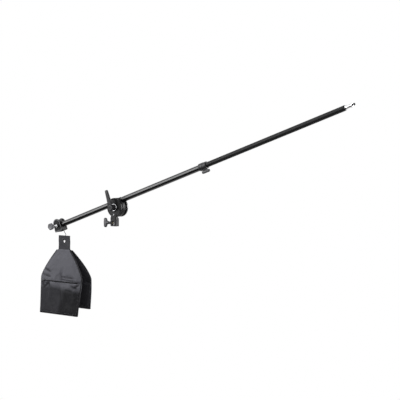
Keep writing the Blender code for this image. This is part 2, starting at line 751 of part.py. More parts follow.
lever_profile = [
    (0, NUT_REAR),
    (LEVER_HUB_RADIUS, NUT_REAR),
    (LEVER_HUB_RADIUS, LEVER_HUB_FRONT + 0.003),
    (LEVER_HUB_RADIUS - 0.003, LEVER_HUB_FRONT),
    (0, LEVER_HUB_FRONT),
]
lever = turned("lever", lever_profile, PLASTIC, HINGE, ALONG_Y)
blade_outline = [
    (-LEVER_ROOT_WIDTH / 2, 0.0),
    (LEVER_ROOT_WIDTH / 2, 0.0),
    (LEVER_ROOT_WIDTH / 2, LEVER_REACH * 0.12),
    (LEVER_TIP_WIDTH * 0.62, LEVER_REACH * 0.55),
    (LEVER_TIP_WIDTH / 2, LEVER_REACH * 0.96),
    (LEVER_TIP_WIDTH * 0.3, LEVER_REACH),
    (-LEVER_TIP_WIDTH * 0.3, LEVER_REACH),
    (-LEVER_TIP_WIDTH / 2, LEVER_REACH * 0.96),
    (-LEVER_TIP_WIDTH * 0.62, LEVER_REACH * 0.55),
    (-LEVER_ROOT_WIDTH / 2, LEVER_REACH * 0.12),
]
blade_place = (
    Matrix.Translation((0, (LEVER_HUB_FRONT + NUT_FRONT) / 2, 0))
    @ Matrix.Rotation(-LEVER_LEAN, 4, "Y")
    @ Matrix.Rotation(LEVER_RAKE, 4, "X")
)
blade_half = LEVER_BLADE_THICKNESS / 2
blade = plate("lever_blade", blade_outline, -blade_half, blade_half, PLASTIC, HINGE, blade_place)
blade_rounding = blade.modifiers.new("rounding", "BEVEL")
blade_rounding.width = 0.003
blade_rounding.segments = 2
blade_rounding.limit_method = "ANGLE"
blade_rounding.angle_limit = math.radians(60)
join(lever, blade)
tooth_radius = NUT_RADIUS + TOUCH
nut_room = plate(
    "lever_nut_room",
    serrated(tooth_radius, NUT_TOOTH_DEPTH),
    LEVER_SHOULDER_REAR,
    NUT_REAR + 0.01,
    None,
    HINGE,
)
shoulder_hole = LEVER_SCREW_DIAMETER / 2 + RUN
chamber_radius = LEVER_SCREW_HEAD_RADIUS + RUN
cut(
    lever,
    nut_room,
    rod("lever_shoulder_hole", shoulder_hole, LEVER_HUB_FRONT, NUT_FRONT + 0.004, None, HINGE, ALONG_Y),
    rod("lever_chamber", chamber_radius, LEVER_HUB_FRONT - 0.01, LEVER_SHOULDER_FRONT, None, HINGE, ALONG_Y),
)
lever_spring_radius = LEVER_SCREW_DIAMETER / 2 + RUN + LEVER_SPRING_WIRE
lever_spring_points = coil(
    lever_spring_radius,
    LEVER_SCREW_HEAD_REAR + LEVER_SPRING_WIRE + TOUCH,
    LEVER_SHOULDER_FRONT - LEVER_SPRING_WIRE - TOUCH,
    LEVER_SPRING_TURNS,
)
wire("lever_spring", lever_spring_points, 2 * LEVER_SPRING_WIRE, STEEL, HINGE, ALONG_Y)
print_least_gap("lever_spring", lever_spring_points, 2 * LEVER_SPRING_WIRE)

# Lower tube with its tail plug
lower_inner = TUBE_RADIUS - LOWER_TUBE_WALL
ring("lower_tube", TUBE_RADIUS, lower_inner, -TAIL_LENGTH, LOWER_TUBE_END, BLACK_TUBE, ARM, ALONG_X)
plug_start = -TAIL_LENGTH - TOUCH
plug_profile = [
    (0, plug_start + TAIL_PLUG_SPIGOT),
    (lower_inner - RUN, plug_start + TAIL_PLUG_SPIGOT),
    (lower_inner - RUN, plug_start),
    (TUBE_RADIUS, plug_start),
    (TUBE_RADIUS, plug_start - TAIL_PLUG_FLANGE * 0.5),
    (TUBE_RADIUS - TAIL_PLUG_FLANGE * 0.5, plug_start - TAIL_PLUG_FLANGE),
    (0, plug_start - TAIL_PLUG_FLANGE),
]
turned("tail_plug", plug_profile, PLASTIC, ARM, ALONG_X)

# Lock collar, riveted to the lower tube's end
stop = LOWER_TUBE_END + TOUCH
ring_end = COLLAR_START + COLLAR_RING_LENGTH
collar_profile = [
    (COLLAR_RADIUS - 0.0012, COLLAR_END),
    (COLLAR_RADIUS, COLLAR_END - 0.0012),
    (COLLAR_RADIUS, ring_end),
    (COLLAR_RING_RADIUS, ring_end - 0.0015),
    (COLLAR_RING_RADIUS, COLLAR_START + 0.0015),
    (COLLAR_RING_RADIUS - 0.0015, COLLAR_START),
    (TUBE_RADIUS + TOUCH, COLLAR_START),
    (TUBE_RADIUS + TOUCH, stop),
    (UPPER_RADIUS + RUN, stop),
    (UPPER_RADIUS + RUN, COLLAR_END),
]
lock_collar = turned("lock_collar", collar_profile, PLASTIC, ARM, ALONG_X, MEDIUM, closed=True)
lock_down = Matrix.Translation((LOCK_PLACE, 0, 0)) @ DOWN
collar_boss = rod(
    "collar_boss",
    COLLAR_BOSS_RADIUS,
    UPPER_RADIUS + 0.001,
    COLLAR_BOSS_REACH,
    None,
    ARM,
    lock_down,
    COARSE,
)
join(lock_collar, collar_boss)
lock_pad_face = UPPER_RADIUS + TOUCH
lock_pad_back = lock_pad_face + PAD_THICKNESS
lock_room_end = lock_pad_back + PAD_LIFT
lock_insert_radius = min(INSERT_RADIUS, COLLAR_BOSS_RADIUS - 0.0015)
rivet_place = COLLAR_START + COLLAR_OVERLAP / 2
lock_insert_room = lock_insert_radius + TOUCH
boss_past = COLLAR_BOSS_REACH + 0.01
cut(
    lock_collar,
    rod("collar_bore", UPPER_RADIUS + RUN, stop, COLLAR_END + 0.01, None, ARM, ALONG_X, MEDIUM),
    rod("lock_pad_bore", PAD_BORE_RADIUS, 0.005, lock_room_end + 0.001, None, ARM, lock_down),
    rod("lock_insert_bore", lock_insert_room, lock_room_end, boss_past, None, ARM, lock_down),
)
ring(
    "collar_insert",
    lock_insert_radius,
    SCREW_RADIUS + RUN,
    lock_room_end + TOUCH,
    COLLAR_BOSS_REACH,
    BRASS,
    ARM,
    lock_down,
    COARSE,
)
rod("lock_pad", PAD_RADIUS, lock_pad_face, lock_pad_back, BRASS, ARM, lock_down)
knob_down = Matrix.Translation((LOCK_PLACE, 0, 0)) @ ALONG_X @ DOWN
t_knob(
    "lock",
    LOCK_KNOB_REACH,
    LOCK_KNOB_BAR_DEPTH,
    LOCK_KNOB_NECK,
    lock_pad_back + TOUCH,
    ARM,
    knob_down,
)
rivet_turns = {"front": BACK_Y, "rear": ALONG_Y}
for side_name, turn in rivet_turns.items():
    place = Matrix.Translation((rivet_place, 0, 0)) @ turn
    hole = rod("rivet_hole_" + side_name, RIVET_RADIUS + TOUCH, 0.004, 0.03, None, ARM, place, 16)
    tube_hole = rod("tube_rivet_hole_" + side_name, RIVET_RADIUS + TOUCH, 0.004, 0.03, None, ARM, place, 16)
    cut(lock_collar, hole)
    cut(bpy.data.objects["lower_tube"], tube_hole)
    head = COLLAR_RING_RADIUS + TOUCH
    rivet_profile = [
        (0, head + RIVET_HEAD),
        (RIVET_RADIUS * 1.2, head + RIVET_HEAD),
        (RIVET_RADIUS * 1.9, head),
        (RIVET_RADIUS, head),
        (RIVET_RADIUS, lower_inner + 0.0002),
        (0, lower_inner + 0.0002),
    ]
    turned("collar_rivet_" + side_name, rivet_profile, STEEL, ARM, place, 16)

# Upper tube on its slide bush
upper_inner = UPPER_RADIUS - UPPER_TUBE_WALL
ring("upper_tube", UPPER_RADIUS, upper_inner, UPPER_TUBE_START, UPPER_TUBE_END, MATT_TUBE, ARM, ALONG_X)
bush_profile = [
    (0, UPPER_TUBE_START + BUSH_SPIGOT),
    (upper_inner - RUN, UPPER_TUBE_START + BUSH_SPIGOT),
    (upper_inner - RUN, UPPER_TUBE_START - TOUCH),
    (lower_inner - RUN, UPPER_TUBE_START - TOUCH),
    (lower_inner - RUN, UPPER_TUBE_START - BUSH_LENGTH + 0.001),
    (lower_inner - RUN - 0.001, UPPER_TUBE_START - BUSH_LENGTH),
    (0, UPPER_TUBE_START - BUSH_LENGTH),
]
turned("slide_bush", bush_profile, PLASTIC, ARM, ALONG_X)

# Stud, pinned into the upper tube, with its threaded tip
stud_radius = STUD_DIAMETER / 2
stud_end = UPPER_TUBE_END + TOUCH + STUD_LENGTH
groove_end = stud_end - 0.009
groove_start = groove_end - STUD_GROOVE_LENGTH
groove_radius = stud_radius - STUD_GROOVE_DEPTH
shank_radius = upper_inner - TOUCH
tip_radius = STUD_TIP_DIAMETER / 2
tip_start = stud_end - STUD_TIP_ENGAGEMENT
stud_profile = [
    (0, stud_end),
    (stud_radius - 0.001, stud_end),
    (stud_radius, stud_end - 0.001),
    (stud_radius, groove_end + STUD_GROOVE_DEPTH),
    (groove_radius, groove_end),
    (groove_radius, groove_start),
    (stud_radius, groove_start - STUD_GROOVE_DEPTH),
    (stud_radius, UPPER_TUBE_END + 0.004),
    (UPPER_RADIUS - 0.0008, UPPER_TUBE_END + 0.003),
    (UPPER_RADIUS - 0.0008, UPPER_TUBE_END + TOUCH),
    (shank_radius, UPPER_TUBE_END + TOUCH),
    (shank_radius, UPPER_TUBE_END - STUD_SHANK),
    (0, UPPER_TUBE_END - STUD_SHANK),
]
stud = turned("stud", stud_profile, STEEL, ARM, ALONG_X)
cut(stud, rod("stud_thread", tip_radius + TOUCH, tip_start - TOUCH, stud_end + 0.01, None, ARM, ALONG_X))
tip_end = stud_end + STUD_TIP_LENGTH
tip_profile = [
    (0, tip_end),
    (tip_radius - 0.001, tip_end),
    (tip_radius, tip_end - 0.001),
    (tip_radius, tip_start),
    (0, tip_start),
]
turned("stud_tip", tip_profile, DARK_STEEL, ARM, ALONG_X, COARSE)
for number, share in enumerate((0.3, 0.7)):
    side_name = ("outer", "inner")[number]
    pin_place = Matrix.Translation((UPPER_TUBE_END - STUD_SHANK * share, 0, 0)) @ ALONG_Y
    hole_radius = PIN_RADIUS + TOUCH
    cut(stud, rod("stud_pin_hole_" + side_name, hole_radius, -0.02, 0.02, None, ARM, pin_place, 16))
    tube_hole = rod("tube_pin_hole_" + side_name, hole_radius, -0.02, 0.02, None, ARM, pin_place, 16)
    cut(bpy.data.objects["upper_tube"], tube_hole)
    pin_reach = UPPER_RADIUS - 0.0002
    rod("stud_pin_" + side_name, PIN_RADIUS, -pin_reach, pin_reach, STEEL, ARM, pin_place, 16)

# Hanging clamp: sleeve, two side plates, a top bridge, and a rod below for the hook
crown = HANGER_HALF_LENGTH * 0.94
hanger_outline = (
    [(-HANGER_HALF_LENGTH, -HANGER_BOTTOM + 0.003), (-HANGER_HALF_LENGTH + 0.003, -HANGER_BOTTOM)]
    + [(HANGER_HALF_LENGTH - 0.003, -HANGER_BOTTOM), (HANGER_HALF_LENGTH, -HANGER_BOTTOM + 0.003)]
    + arc((0, HANGER_TOP - crown), crown, math.radians(8), math.radians(172), 12)
)
plate_inner = HANGER_HALF_WIDTH - HANGER_PLATE
hanger_body = plate("hanger_body", hanger_outline, -HANGER_HALF_WIDTH, -plate_inner, CASTING, HANGER)
recess_scale = 1 - HANGER_RIM / HANGER_HALF_LENGTH
recess_outline = [(x * recess_scale, z * recess_scale) for x, z in hanger_outline]
recess_floor = -HANGER_HALF_WIDTH + HANGER_RECESS
front_recess = plate("hanger_recess", recess_outline, -HANGER_HALF_WIDTH - 0.01, recess_floor, None, HANGER)
rear_plate = plate("hanger_rear_plate", hanger_outline, plate_inner, HANGER_HALF_WIDTH, None, HANGER)
sleeve_radius = TUBE_RADIUS + RUN + HANGER_SLEEVE_WALL
sleeve_half = HANGER_HALF_LENGTH - 0.0015
sleeve = rod("hanger_sleeve", sleeve_radius, -sleeve_half, sleeve_half, None, HANGER, ALONG_X, MEDIUM)
bridge = box(
    "hanger_bridge",
    (-HANGER_BRIDGE_HALF, -plate_inner - 0.001, TUBE_RADIUS),
    (HANGER_BRIDGE_HALF, plate_inner + 0.001, HANGER_TOP - 0.006),
    None,
    HANGER,
)
wall_inner = HANGER_HALF_LENGTH - HANGER_WALL
wall_outer = HANGER_HALF_LENGTH - 0.001
wall_reach = plate_inner + 0.001
wall_foot = -HANGER_BOTTOM + 0.001
end_walls = [
    box("hanger_wall_" + name, (low, -wall_reach, wall_foot), (high, wall_reach, -TUBE_RADIUS), None, HANGER)
    for name, low, high in (("tail", -wall_outer, -wall_inner), ("head", wall_inner, wall_outer))
]
rod_height = -HANGER_BOTTOM + HANGER_ROD_RADIUS + 0.0008
rod_place = Matrix.Translation((0, HANGER_ROD_BACK, rod_height)) @ ALONG_X
rod_reach = wall_inner + 0.001
hook_rod = rod("hanger_rod", HANGER_ROD_RADIUS, -rod_reach, rod_reach, None, HANGER, rod_place, 16)
hanger_boss_end = HANGER_HALF_WIDTH + HANGER_BOSS_HEIGHT
hanger_boss = rod("hanger_boss", HANGER_BOSS_RADIUS, plate_inner, hanger_boss_end, None, HANGER, BACK_Y)
cut(hanger_body, front_recess)
join(hanger_body, rear_plate, sleeve, bridge, *end_walls, hook_rod, hanger_boss)
hanger_insert_radius = HANGER_BOSS_RADIUS - 0.0012
hanger_pad_face = TUBE_RADIUS + TOUCH
hanger_pad_back = hanger_pad_face + PAD_THICKNESS
hanger_room_end = hanger_pad_back + PAD_LIFT
cut(
    hanger_body,
    rod("hanger_bore", TUBE_RADIUS + RUN, -0.05, 0.05, None, HANGER, ALONG_X, MEDIUM),
    rod("hanger_pad_bore", PAD_BORE_RADIUS, 0.005, hanger_room_end + 0.001, None, HANGER, BACK_Y),
    rod("hanger_insert_bore", hanger_insert_radius + TOUCH, hanger_room_end, 0.05, None, HANGER, BACK_Y),
)
ring(
    "hanger_insert",
    hanger_insert_radius,
    SCREW_RADIUS + RUN,
    hanger_room_end + TOUCH,
    hanger_boss_end,
    BRASS,
    HANGER,
    BACK_Y,
    COARSE,
)
rod("hanger_pad", PAD_RADIUS, hanger_pad_face, hanger_pad_back, BRASS, HANGER, BACK_Y)

# Star knob of the hanging clamp
knob_inner = HANGER_SCREW_REACH - STAR_KNOB_DEPTH
star = []
for step in range(48):
    angle = 2 * math.pi * step / 48
    reach = STAR_KNOB_RADIUS * (1 - 0.07 * (1 - math.cos(STAR_KNOB_LOBES * angle)) / 2)
    star.append((reach * math.cos(angle), reach * math.sin(angle)))
hanger_knob = plate("hanger_knob", star, -HANGER_SCREW_REACH, -knob_inner, PLASTIC, HANGER)
star_neck = rod(
    "star_neck",
    SCREW_RADIUS + 0.0025,
    knob_inner - STAR_KNOB_NECK,
    knob_inner + 0.001,
    None,
    HANGER,
    BACK_Y,
    COARSE,
    SCREW_RADIUS + 0.0045,
)
knob_seat = HANGER_SCREW_REACH - STAR_KNOB_DEPTH * 0.35
join(hanger_knob, star_neck)
cut(hanger_knob, rod("star_hole", SCREW_RADIUS + TOUCH, 0.02, knob_seat, None, HANGER, BACK_Y))
rod("hanger_screw", SCREW_RADIUS, hanger_pad_back + TOUCH, knob_seat - TOUCH, STEEL, HANGER, BACK_Y)

# S-hook over the clamp's rod, hanging straight down
hook_at = HANGER_MATRIX @ Vector((HOOK_ALONG_ROD, HANGER_ROD_BACK, rod_height))
wire_radius = HOOK_WIRE / 2
rod_vertical = HANGER_ROD_RADIUS / math.cos(ARM_TILT)
upper_centre = rod_vertical + TOUCH + wire_radius - HOOK_UPPER_RADIUS
eyelet_drop = -EYELET_CENTRE_DROP
tab_half = TAB_THICKNESS / 2
ring_near = tab_half + TOUCH
ring_far = ring_near + EYELET_RING_THICKNESS
inside_radius = HOOK_LOWER_RADIUS - wire_radius
wire_rise = inside_radius - math.sqrt(inside_radius**2 - ring_far**2)
wire_bottom = eyelet_drop + EYELET_HOLE_RADIUS - TOUCH - wire_radius - wire_rise
lower_centre = wire_bottom + HOOK_LOWER_RADIUS
upper_arc = arc((0, upper_centre), HOOK_UPPER_RADIUS, math.radians(-15), math.pi + HOOK_CROSSING_LEAN, 14)
crossing_y, crossing_z = upper_arc[-1]
# The wire crosses the tab's plane high up, so that the tab clears it when the bag swings
bend_y = HOOK_LOWER_RADIUS - HOOK_UPPER_RADIUS
bend_start = bend_y + HOOK_UPPER_RADIUS * math.cos(HOOK_CROSSING_LEAN)
bend_z = crossing_z - (bend_start - crossing_y) / math.tan(HOOK_CROSSING_LEAN)
bend_z -= HOOK_UPPER_RADIUS * math.sin(HOOK_CROSSING_LEAN)
bend_arc = arc((bend_y, bend_z), HOOK_UPPER_RADIUS, HOOK_CROSSING_LEAN, 0, 3)
lower_arc = arc((0, lower_centre), HOOK_LOWER_RADIUS, 0, math.radians(-165), 12)
hook_points = [(0, y, z) for y, z in upper_arc + bend_arc + lower_arc]
wire("s_hook", hook_points, HOOK_WIRE, STEEL, None, Matrix.Translation(hook_at), 2)

# Tab of the bag with its eyelet rings
eyelet_at = hook_at + Vector((0, 0, eyelet_drop))
bag_place = Matrix.Translation(eyelet_at)
tab_top = TAB_ABOVE_EYELET
tab_low = tab_top - TAB_HEIGHT
bag_tab = box(
    "bag_tab",
    (-TAB_WIDTH / 2, -tab_half, tab_low),
    (TAB_WIDTH / 2, tab_half, tab_top),
    CLOTH,
    None,
    bag_place,
    rounding=0.0015,
)
cut(bag_tab, rod("eyelet_hole", EYELET_HOLE_RADIUS, -0.02, 0.02, None, None, bag_place @ ALONG_Y, COARSE))
ring_outer = EYELET_HOLE_RADIUS + EYELET_RING_WIDTH
for side_name, turn in (("front", BACK_Y), ("rear", ALONG_Y)):
    place = bag_place @ turn
    name = "eyelet_" + side_name
    ring(name, ring_outer, EYELET_HOLE_RADIUS, ring_near, ring_far, DARK_STEEL, None, place, COARSE)


def pocket_half_width(drop, height):
    """Half the pocket's width at a distance below its top: straight shoulders, then nearly square."""
    share = min(drop / POCKET_SHOULDER_HEIGHT, 1.0)
    shoulder = POCKET_TOP_WIDTH + (POCKET_WIDTH - POCKET_TOP_WIDTH) * (1 - (1 - share) ** 1.35)
    below = max(drop - POCKET_SHOULDER_HEIGHT, 0) / (height - POCKET_SHOULDER_HEIGHT)
    return (shoulder + (POCKET_FOOT_WIDTH - POCKET_WIDTH) * below) / 2


def pocket_crown(across, drop, height):
    """Half the pocket's thickness at a share of its half width and a distance below its top."""
    fullness = (1 - across**2) * math.sin(math.pi * min(drop / height * 0.8, 1.0))
    return (POCKET_EDGE_THICKNESS + (POCKET_THICKNESS - POCKET_EDGE_THICKNESS) * fullness) / 2


def pocket(name, place, height, bulge):
    """Flat empty pocket of the bag; its top edge is on the placed X axis."""
    bm = bmesh.new()
    bmesh.ops.create_grid(bm, x_segments=12, y_segments=16, size=1.0)
    shell = bmesh.ops.extrude_face_region(bm, geom=bm.faces[:])
    back = {v for v in shell["geom"] if isinstance(v, bmesh.types.BMVert)}
    for vert in bm.verts:
        across = vert.co.x
        drop = (1 - vert.co.y) / 2 * height
        half = pocket_crown(across, drop, height)
        bow = bulge * math.sin(math.pi * drop / height)
        vert.co = (across * pocket_half_width(drop, height), bow + (half if vert in back else -half), -drop)
    bmesh.ops.recalc_face_normals(bm, faces=bm.faces)
    return shade(mesh_object(name, bm, CLOTH, None, place), 60)


def zip_and_slider(side_name, place, outward, height, bulge):
    """Zip tape across the fullest part of a pocket's outer face, with its slider."""
    edges = (ZIP_DROP - ZIP_WIDTH / 2, ZIP_DROP + ZIP_WIDTH / 2)
    fullest = max(bulge * math.sin(math.pi * drop / height) + pocket_crown(0, drop, height) for drop in edges)
    near = fullest + TOUCH
    far = near + ZIP_THICKNESS
    half = ZIP_LENGTH / 2
    top = -ZIP_DROP + ZIP_WIDTH / 2
    tape = sorted((outward * near, outward * far))
    box(side_name + "_zip", (-half, tape[0], top - ZIP_WIDTH), (half, tape[1], top), CLOTH, None, place)
    slider = sorted((outward * (far + TOUCH), outward * (far + TOUCH + SLIDER_THICKNESS)))
    box(
        side_name + "_zip_slider",
        (-half, slider[0], -ZIP_DROP - SLIDER_WIDTH / 2),
        (-half + SLIDER_LENGTH, slider[1], -ZIP_DROP + SLIDER_WIDTH / 2),
        DARK_STEEL,
        None,
        place,
        rounding=0.0008,
        segments=1,
    )


# Front and rear pockets, sewn to the tab's lower edge
pocket_away = tab_half + TOUCH + POCKET_EDGE_THICKNESS / 2
pocket_top = eyelet_at + Vector((0, 0, tab_low + POCKET_LAP))
front_place = Matrix.Translation(pocket_top - Vector((0, pocket_away, 0))) @ Matrix.Rotation(
    FRONT_POCKET_SWING, 4, "X"
)
rear_place = Matrix.Translation(pocket_top + Vector((0, pocket_away, 0))) @ Matrix.Rotation(
    REAR_POCKET_SWING, 4, "X"
)
pocket("front_pocket", front_place, FRONT_POCKET_HEIGHT, 0.0)
pocket("rear_pocket", rear_place, REAR_POCKET_HEIGHT, REAR_POCKET_BULGE)
zip_and_slider("front", front_place, -1, FRONT_POCKET_HEIGHT, 0.0)
zip_and_slider("rear", rear_place, 1, REAR_POCKET_HEIGHT, REAR_POCKET_BULGE)

bpy.context.view_layer.update()
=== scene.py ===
"""Dressed model of a telescopic extension arm with its grip head, hanging clamp and counterweight bag.

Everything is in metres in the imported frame: the mouth of the socket is the origin, X runs towards the
stud, -Y is the lever's side and Z is up.
"""

import math

import bmesh
import bpy
import numpy as np
from mathutils import Matrix, Vector
from mathutils.bvhtree import BVHTree


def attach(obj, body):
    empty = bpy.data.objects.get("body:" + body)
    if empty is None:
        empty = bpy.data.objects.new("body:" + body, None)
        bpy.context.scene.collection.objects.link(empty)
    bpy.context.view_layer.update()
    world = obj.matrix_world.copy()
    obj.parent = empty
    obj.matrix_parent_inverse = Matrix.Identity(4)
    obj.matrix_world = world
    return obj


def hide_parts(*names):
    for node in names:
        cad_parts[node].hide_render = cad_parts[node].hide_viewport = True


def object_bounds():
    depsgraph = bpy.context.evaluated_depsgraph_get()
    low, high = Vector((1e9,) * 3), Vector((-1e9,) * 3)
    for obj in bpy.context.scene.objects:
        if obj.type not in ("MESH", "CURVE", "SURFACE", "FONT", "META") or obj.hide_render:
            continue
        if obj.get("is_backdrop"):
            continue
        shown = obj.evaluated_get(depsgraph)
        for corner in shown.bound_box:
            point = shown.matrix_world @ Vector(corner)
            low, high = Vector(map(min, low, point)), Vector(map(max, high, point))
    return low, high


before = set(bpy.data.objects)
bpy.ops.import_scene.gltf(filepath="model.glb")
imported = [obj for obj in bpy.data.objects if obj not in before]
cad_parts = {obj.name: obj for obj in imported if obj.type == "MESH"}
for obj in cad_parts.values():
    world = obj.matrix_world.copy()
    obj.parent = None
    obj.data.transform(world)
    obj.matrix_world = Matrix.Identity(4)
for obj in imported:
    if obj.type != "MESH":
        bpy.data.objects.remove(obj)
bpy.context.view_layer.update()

# Camera: stands 5 m off at about the socket's height, turned 39 degrees from the lever's side, with a
# lens of about 100 mm, as fitted to the two tubes' narrowing in the photograph.
def linked(name, data):
    """New object of the scene."""
    made = bpy.data.objects.new(name, data)
    bpy.context.scene.collection.objects.link(made)
    return made


azimuth, pitch = math.radians(39.0805), math.radians(2.492)
back = Vector((math.sin(azimuth) * math.cos(pitch), -math.cos(azimuth) * math.cos(pitch), math.sin(pitch)))
camera = linked("camera", bpy.data.cameras.new("camera"))
camera.data.sensor_width = 36.0
camera.data.lens = 100.59
camera.location = (3.39363, -3.58197, 0.3300)
camera.rotation_mode = "QUATERNION"
camera.rotation_quaternion = (-back).to_track_quat("-Z", "Y")
bpy.context.scene.camera = camera
bpy.context.scene.view_settings.view_transform = "Standard"


# Studio: a pale floor and a white surround that the camera, gloss and glass see as plain white, with soft
# lamps and a weaker surround for all else. A black card below, which only gloss and bounced light see,
# keeps the undersides dark, and a strip lamp behind draws the bright line along the tubes.
def add(owner, kind, inputs=None, **settings):
    """Add a node with its settings; inputs maps sockets to a value or to another node's output."""
    tree = owner.node_tree
    made = tree.nodes.new(kind)
    for name, value in settings.items():
        setattr(made, name, value)
    for name, value in (inputs or {}).items():
        if isinstance(value, bpy.types.NodeSocket):
            tree.links.new(value, made.inputs[name])
        else:
            made.inputs[name].default_value = value
    return made


def linear(code):
    """Linear colour of an sRGB hex code: c / 12.92 where dark, else ((c + 0.055) / 1.055) ** 2.4."""
    parts = [int(code[i:i + 2], 16) / 255 for i in (1, 3, 5)]
    return (*[c / 12.92 if c <= 0.04045 else ((c + 0.055) / 1.055) ** 2.4 for c in parts], 1.0)


def maths(owner, operation, first, second):
    """Two values, or outputs, put together by an operation."""
    return add(owner, "ShaderNodeMath", {0: first, 1: second}, operation=operation).outputs[0]


def ranged(owner, value, low, high, to_low, to_high):
    """Value carried from one range to another and held at its ends."""
    ends = {"From Min": low, "From Max": high, "To Min": to_low, "To Max": to_high}
    return add(owner, "ShaderNodeMapRange", {"Value": value, **ends}).outputs["Result"]


def rays(owner, first, *others):
    """1 where a ray of one of the kinds arrives, else 0."""
    path = add(owner, "ShaderNodeLightPath").outputs
    share = path[first]
    for kind in others:
        share = maths(owner, "MAXIMUM", share, path[kind])
    return share


def shaded(name):
    """New material and its Principled shader."""
    material = bpy.data.materials.new(name)
    material.use_nodes = True
    return material, material.node_tree.nodes["Principled BSDF"]


def surfaced(material, share, first, second):
    """Lead a blend of two shaders to the material's surface."""
    blend = add(material, "ShaderNodeMixShader", {0: share, 1: first.outputs[0], 2: second.outputs[0]})
    tree = material.node_tree
    tree.links.new(blend.outputs[0], tree.nodes["Material Output"].inputs["Surface"])


def plane(name, low, high, height, material):
    """Level rectangle between two (x, y) corners."""
    mesh = bpy.data.meshes.new(name)
    corners = [low, (high[0], low[1]), high, (low[0], high[1])]
    mesh.from_pydata([(x, y, height) for x, y in corners], [], [(0, 1, 2, 3)])
    mesh.materials.append(material)
    return linked(name, mesh)


SEEN = ("Is Camera Ray", "Is Glossy Ray", "Is Transmission Ray")
WHITE = (1.0, 1.0, 1.0, 1.0)
SURROUND_LEVEL = 0.10
FLOOR_HEIGHT = -1.45
FLOOR_FADE = (0.7, 2.4)
CARD_HEIGHT = -0.95

world = bpy.data.worlds.new("studio")
bpy.context.scene.world = world
world.use_nodes = True
surround = world.node_tree.nodes["Background"]
surround.inputs["Color"].default_value = WHITE
level = ranged(world, rays(world, *SEEN), 0.0, 1.0, SURROUND_LEVEL, 1.0)
world.node_tree.links.new(level, surround.inputs["Strength"])

# Matt floor paint, pale and slightly warm, that turns to plain white away from the object.
floor_paint, shader = shaded("matt_floor_paint")
shader.inputs["Base Color"].default_value = linear("#F1F1EF")
shader.inputs["Roughness"].default_value = 0.9
place = add(floor_paint, "ShaderNodeTexCoord").outputs["Object"]
away = add(floor_paint, "ShaderNodeVectorMath", {0: place, 1: (0.3, 0.0, FLOOR_HEIGHT)}, operation="DISTANCE")
fade = ranged(floor_paint, away.outputs["Value"], *FLOOR_FADE, 0.0, 1.0)
white = add(floor_paint, "ShaderNodeEmission", {"Color": WHITE, "Strength": 1.0})
surfaced(floor_paint, maths(floor_paint, "MULTIPLY", fade, rays(floor_paint, *SEEN)), shader, white)
floor = plane("floor", (-30, -30), (30, 30), FLOOR_HEIGHT, floor_paint)
floor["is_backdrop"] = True

# Black felt of the card, which the camera's and the shadows' rays pass through.
card_felt, shader = shaded("black_card_felt")
shader.inputs["Base Color"].default_value = linear("#0B0B0B")
shader.inputs["Roughness"].default_value = 0.95
clear = add(card_felt, "ShaderNodeBsdfTransparent")
surfaced(card_felt, rays(card_felt, "Is Camera Ray", "Is Shadow Ray"), shader, clear)
card = plane("black_card", (-3.5, -4.5), (3.5, -0.1), CARD_HEIGHT, card_felt)
card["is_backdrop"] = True


def soft_lamp(name, place, aim, size, watts):
    """Rectangular lamp of (width, height) at a place, aimed at a point."""
    lamp = bpy.data.lights.new(name, "AREA")
    lamp.shape = "RECTANGLE"
    lamp.size, lamp.size_y = size
    lamp.energy = watts
    holder = linked(name, lamp)
    holder.location = place
    holder.rotation_mode = "QUATERNION"
    holder.rotation_quaternion = (Vector(aim) - Vector(place)).to_track_quat("-Z", "Y")


soft_lamp("left_softbox", (-1.65, -2.15, 0.62), (0.2, 0.0, 0.15), (2.6, 2.1), 112)
soft_lamp("overhead_softbox", (0.0, -0.9, 2.9), (0.2, 0.0, 0.1), (2.6, 1.4), 58)
soft_lamp("right_fill", (3.2, -1.0, 0.9), (0.2, 0.0, 0.1), (1.0, 1.6), 55)
soft_lamp("right_rear_strip", (2.4, 2.6, 0.6), (0.1, 0.0, 0.1), (1.0, 2.2), 190)


# Socket: a die casting with the bore for a spigot, a neck and the round front cheek of the clamp. Its
# black stoving paint is semi-matt, with a slight orange peel, and rubs lighter on the proud edges.
def in_cells(piece, size):
    """Remesh a piece in cells of a size."""
    cells = piece.modifiers.new("cells", "REMESH")
    cells.mode = "VOXEL"
    cells.voxel_size = size


def as_mesh(piece):
    """New mesh of a piece with its modifiers applied."""
    return bpy.data.meshes.new_from_object(piece.evaluated_get(bpy.context.evaluated_depsgraph_get()))


def values(points, name):
    """Vectors of a mesh's points, one to a row."""
    flat = np.zeros(len(points) * 3)
    points.foreach_get(name, flat)
    return flat.reshape(-1, 3)


def cast_skin(node, cell, passes):
    """Casting's rounded skin: the solid remeshed in cells and relaxed, its convex edges marked as worn.

    The mark is how far each point drew in along its normal, as a share of 0.55 cells.
    """
    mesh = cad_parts[node].data.copy()
    bm = bmesh.new()
    bm.from_mesh(mesh)
    bmesh.ops.remove_doubles(bm, verts=bm.verts, dist=0.000005)
    bm.to_mesh(mesh)
    bm.free()
    rough = linked(node + "_rough", mesh)
    in_cells(rough, cell)
    square = as_mesh(rough)
    relax = rough.modifiers.new("relax", "SMOOTH")
    relax.factor = 0.5
    relax.iterations = passes
    relaxed = as_mesh(rough)
    bpy.data.objects.remove(rough, do_unlink=True)
    shift = values(square.vertices, "co") - values(relaxed.vertices, "co")
    drawn_in = np.sum(shift * values(relaxed.vertices, "normal"), axis=1)
    edge = relaxed.attributes.new("edge", "FLOAT", "POINT")
    edge.data.foreach_set("value", np.clip(drawn_in / (cell * 0.55), 0.0, 1.0))
    relaxed.shade_smooth()
    relaxed.materials.clear()
    return linked(node + "_skin", relaxed)


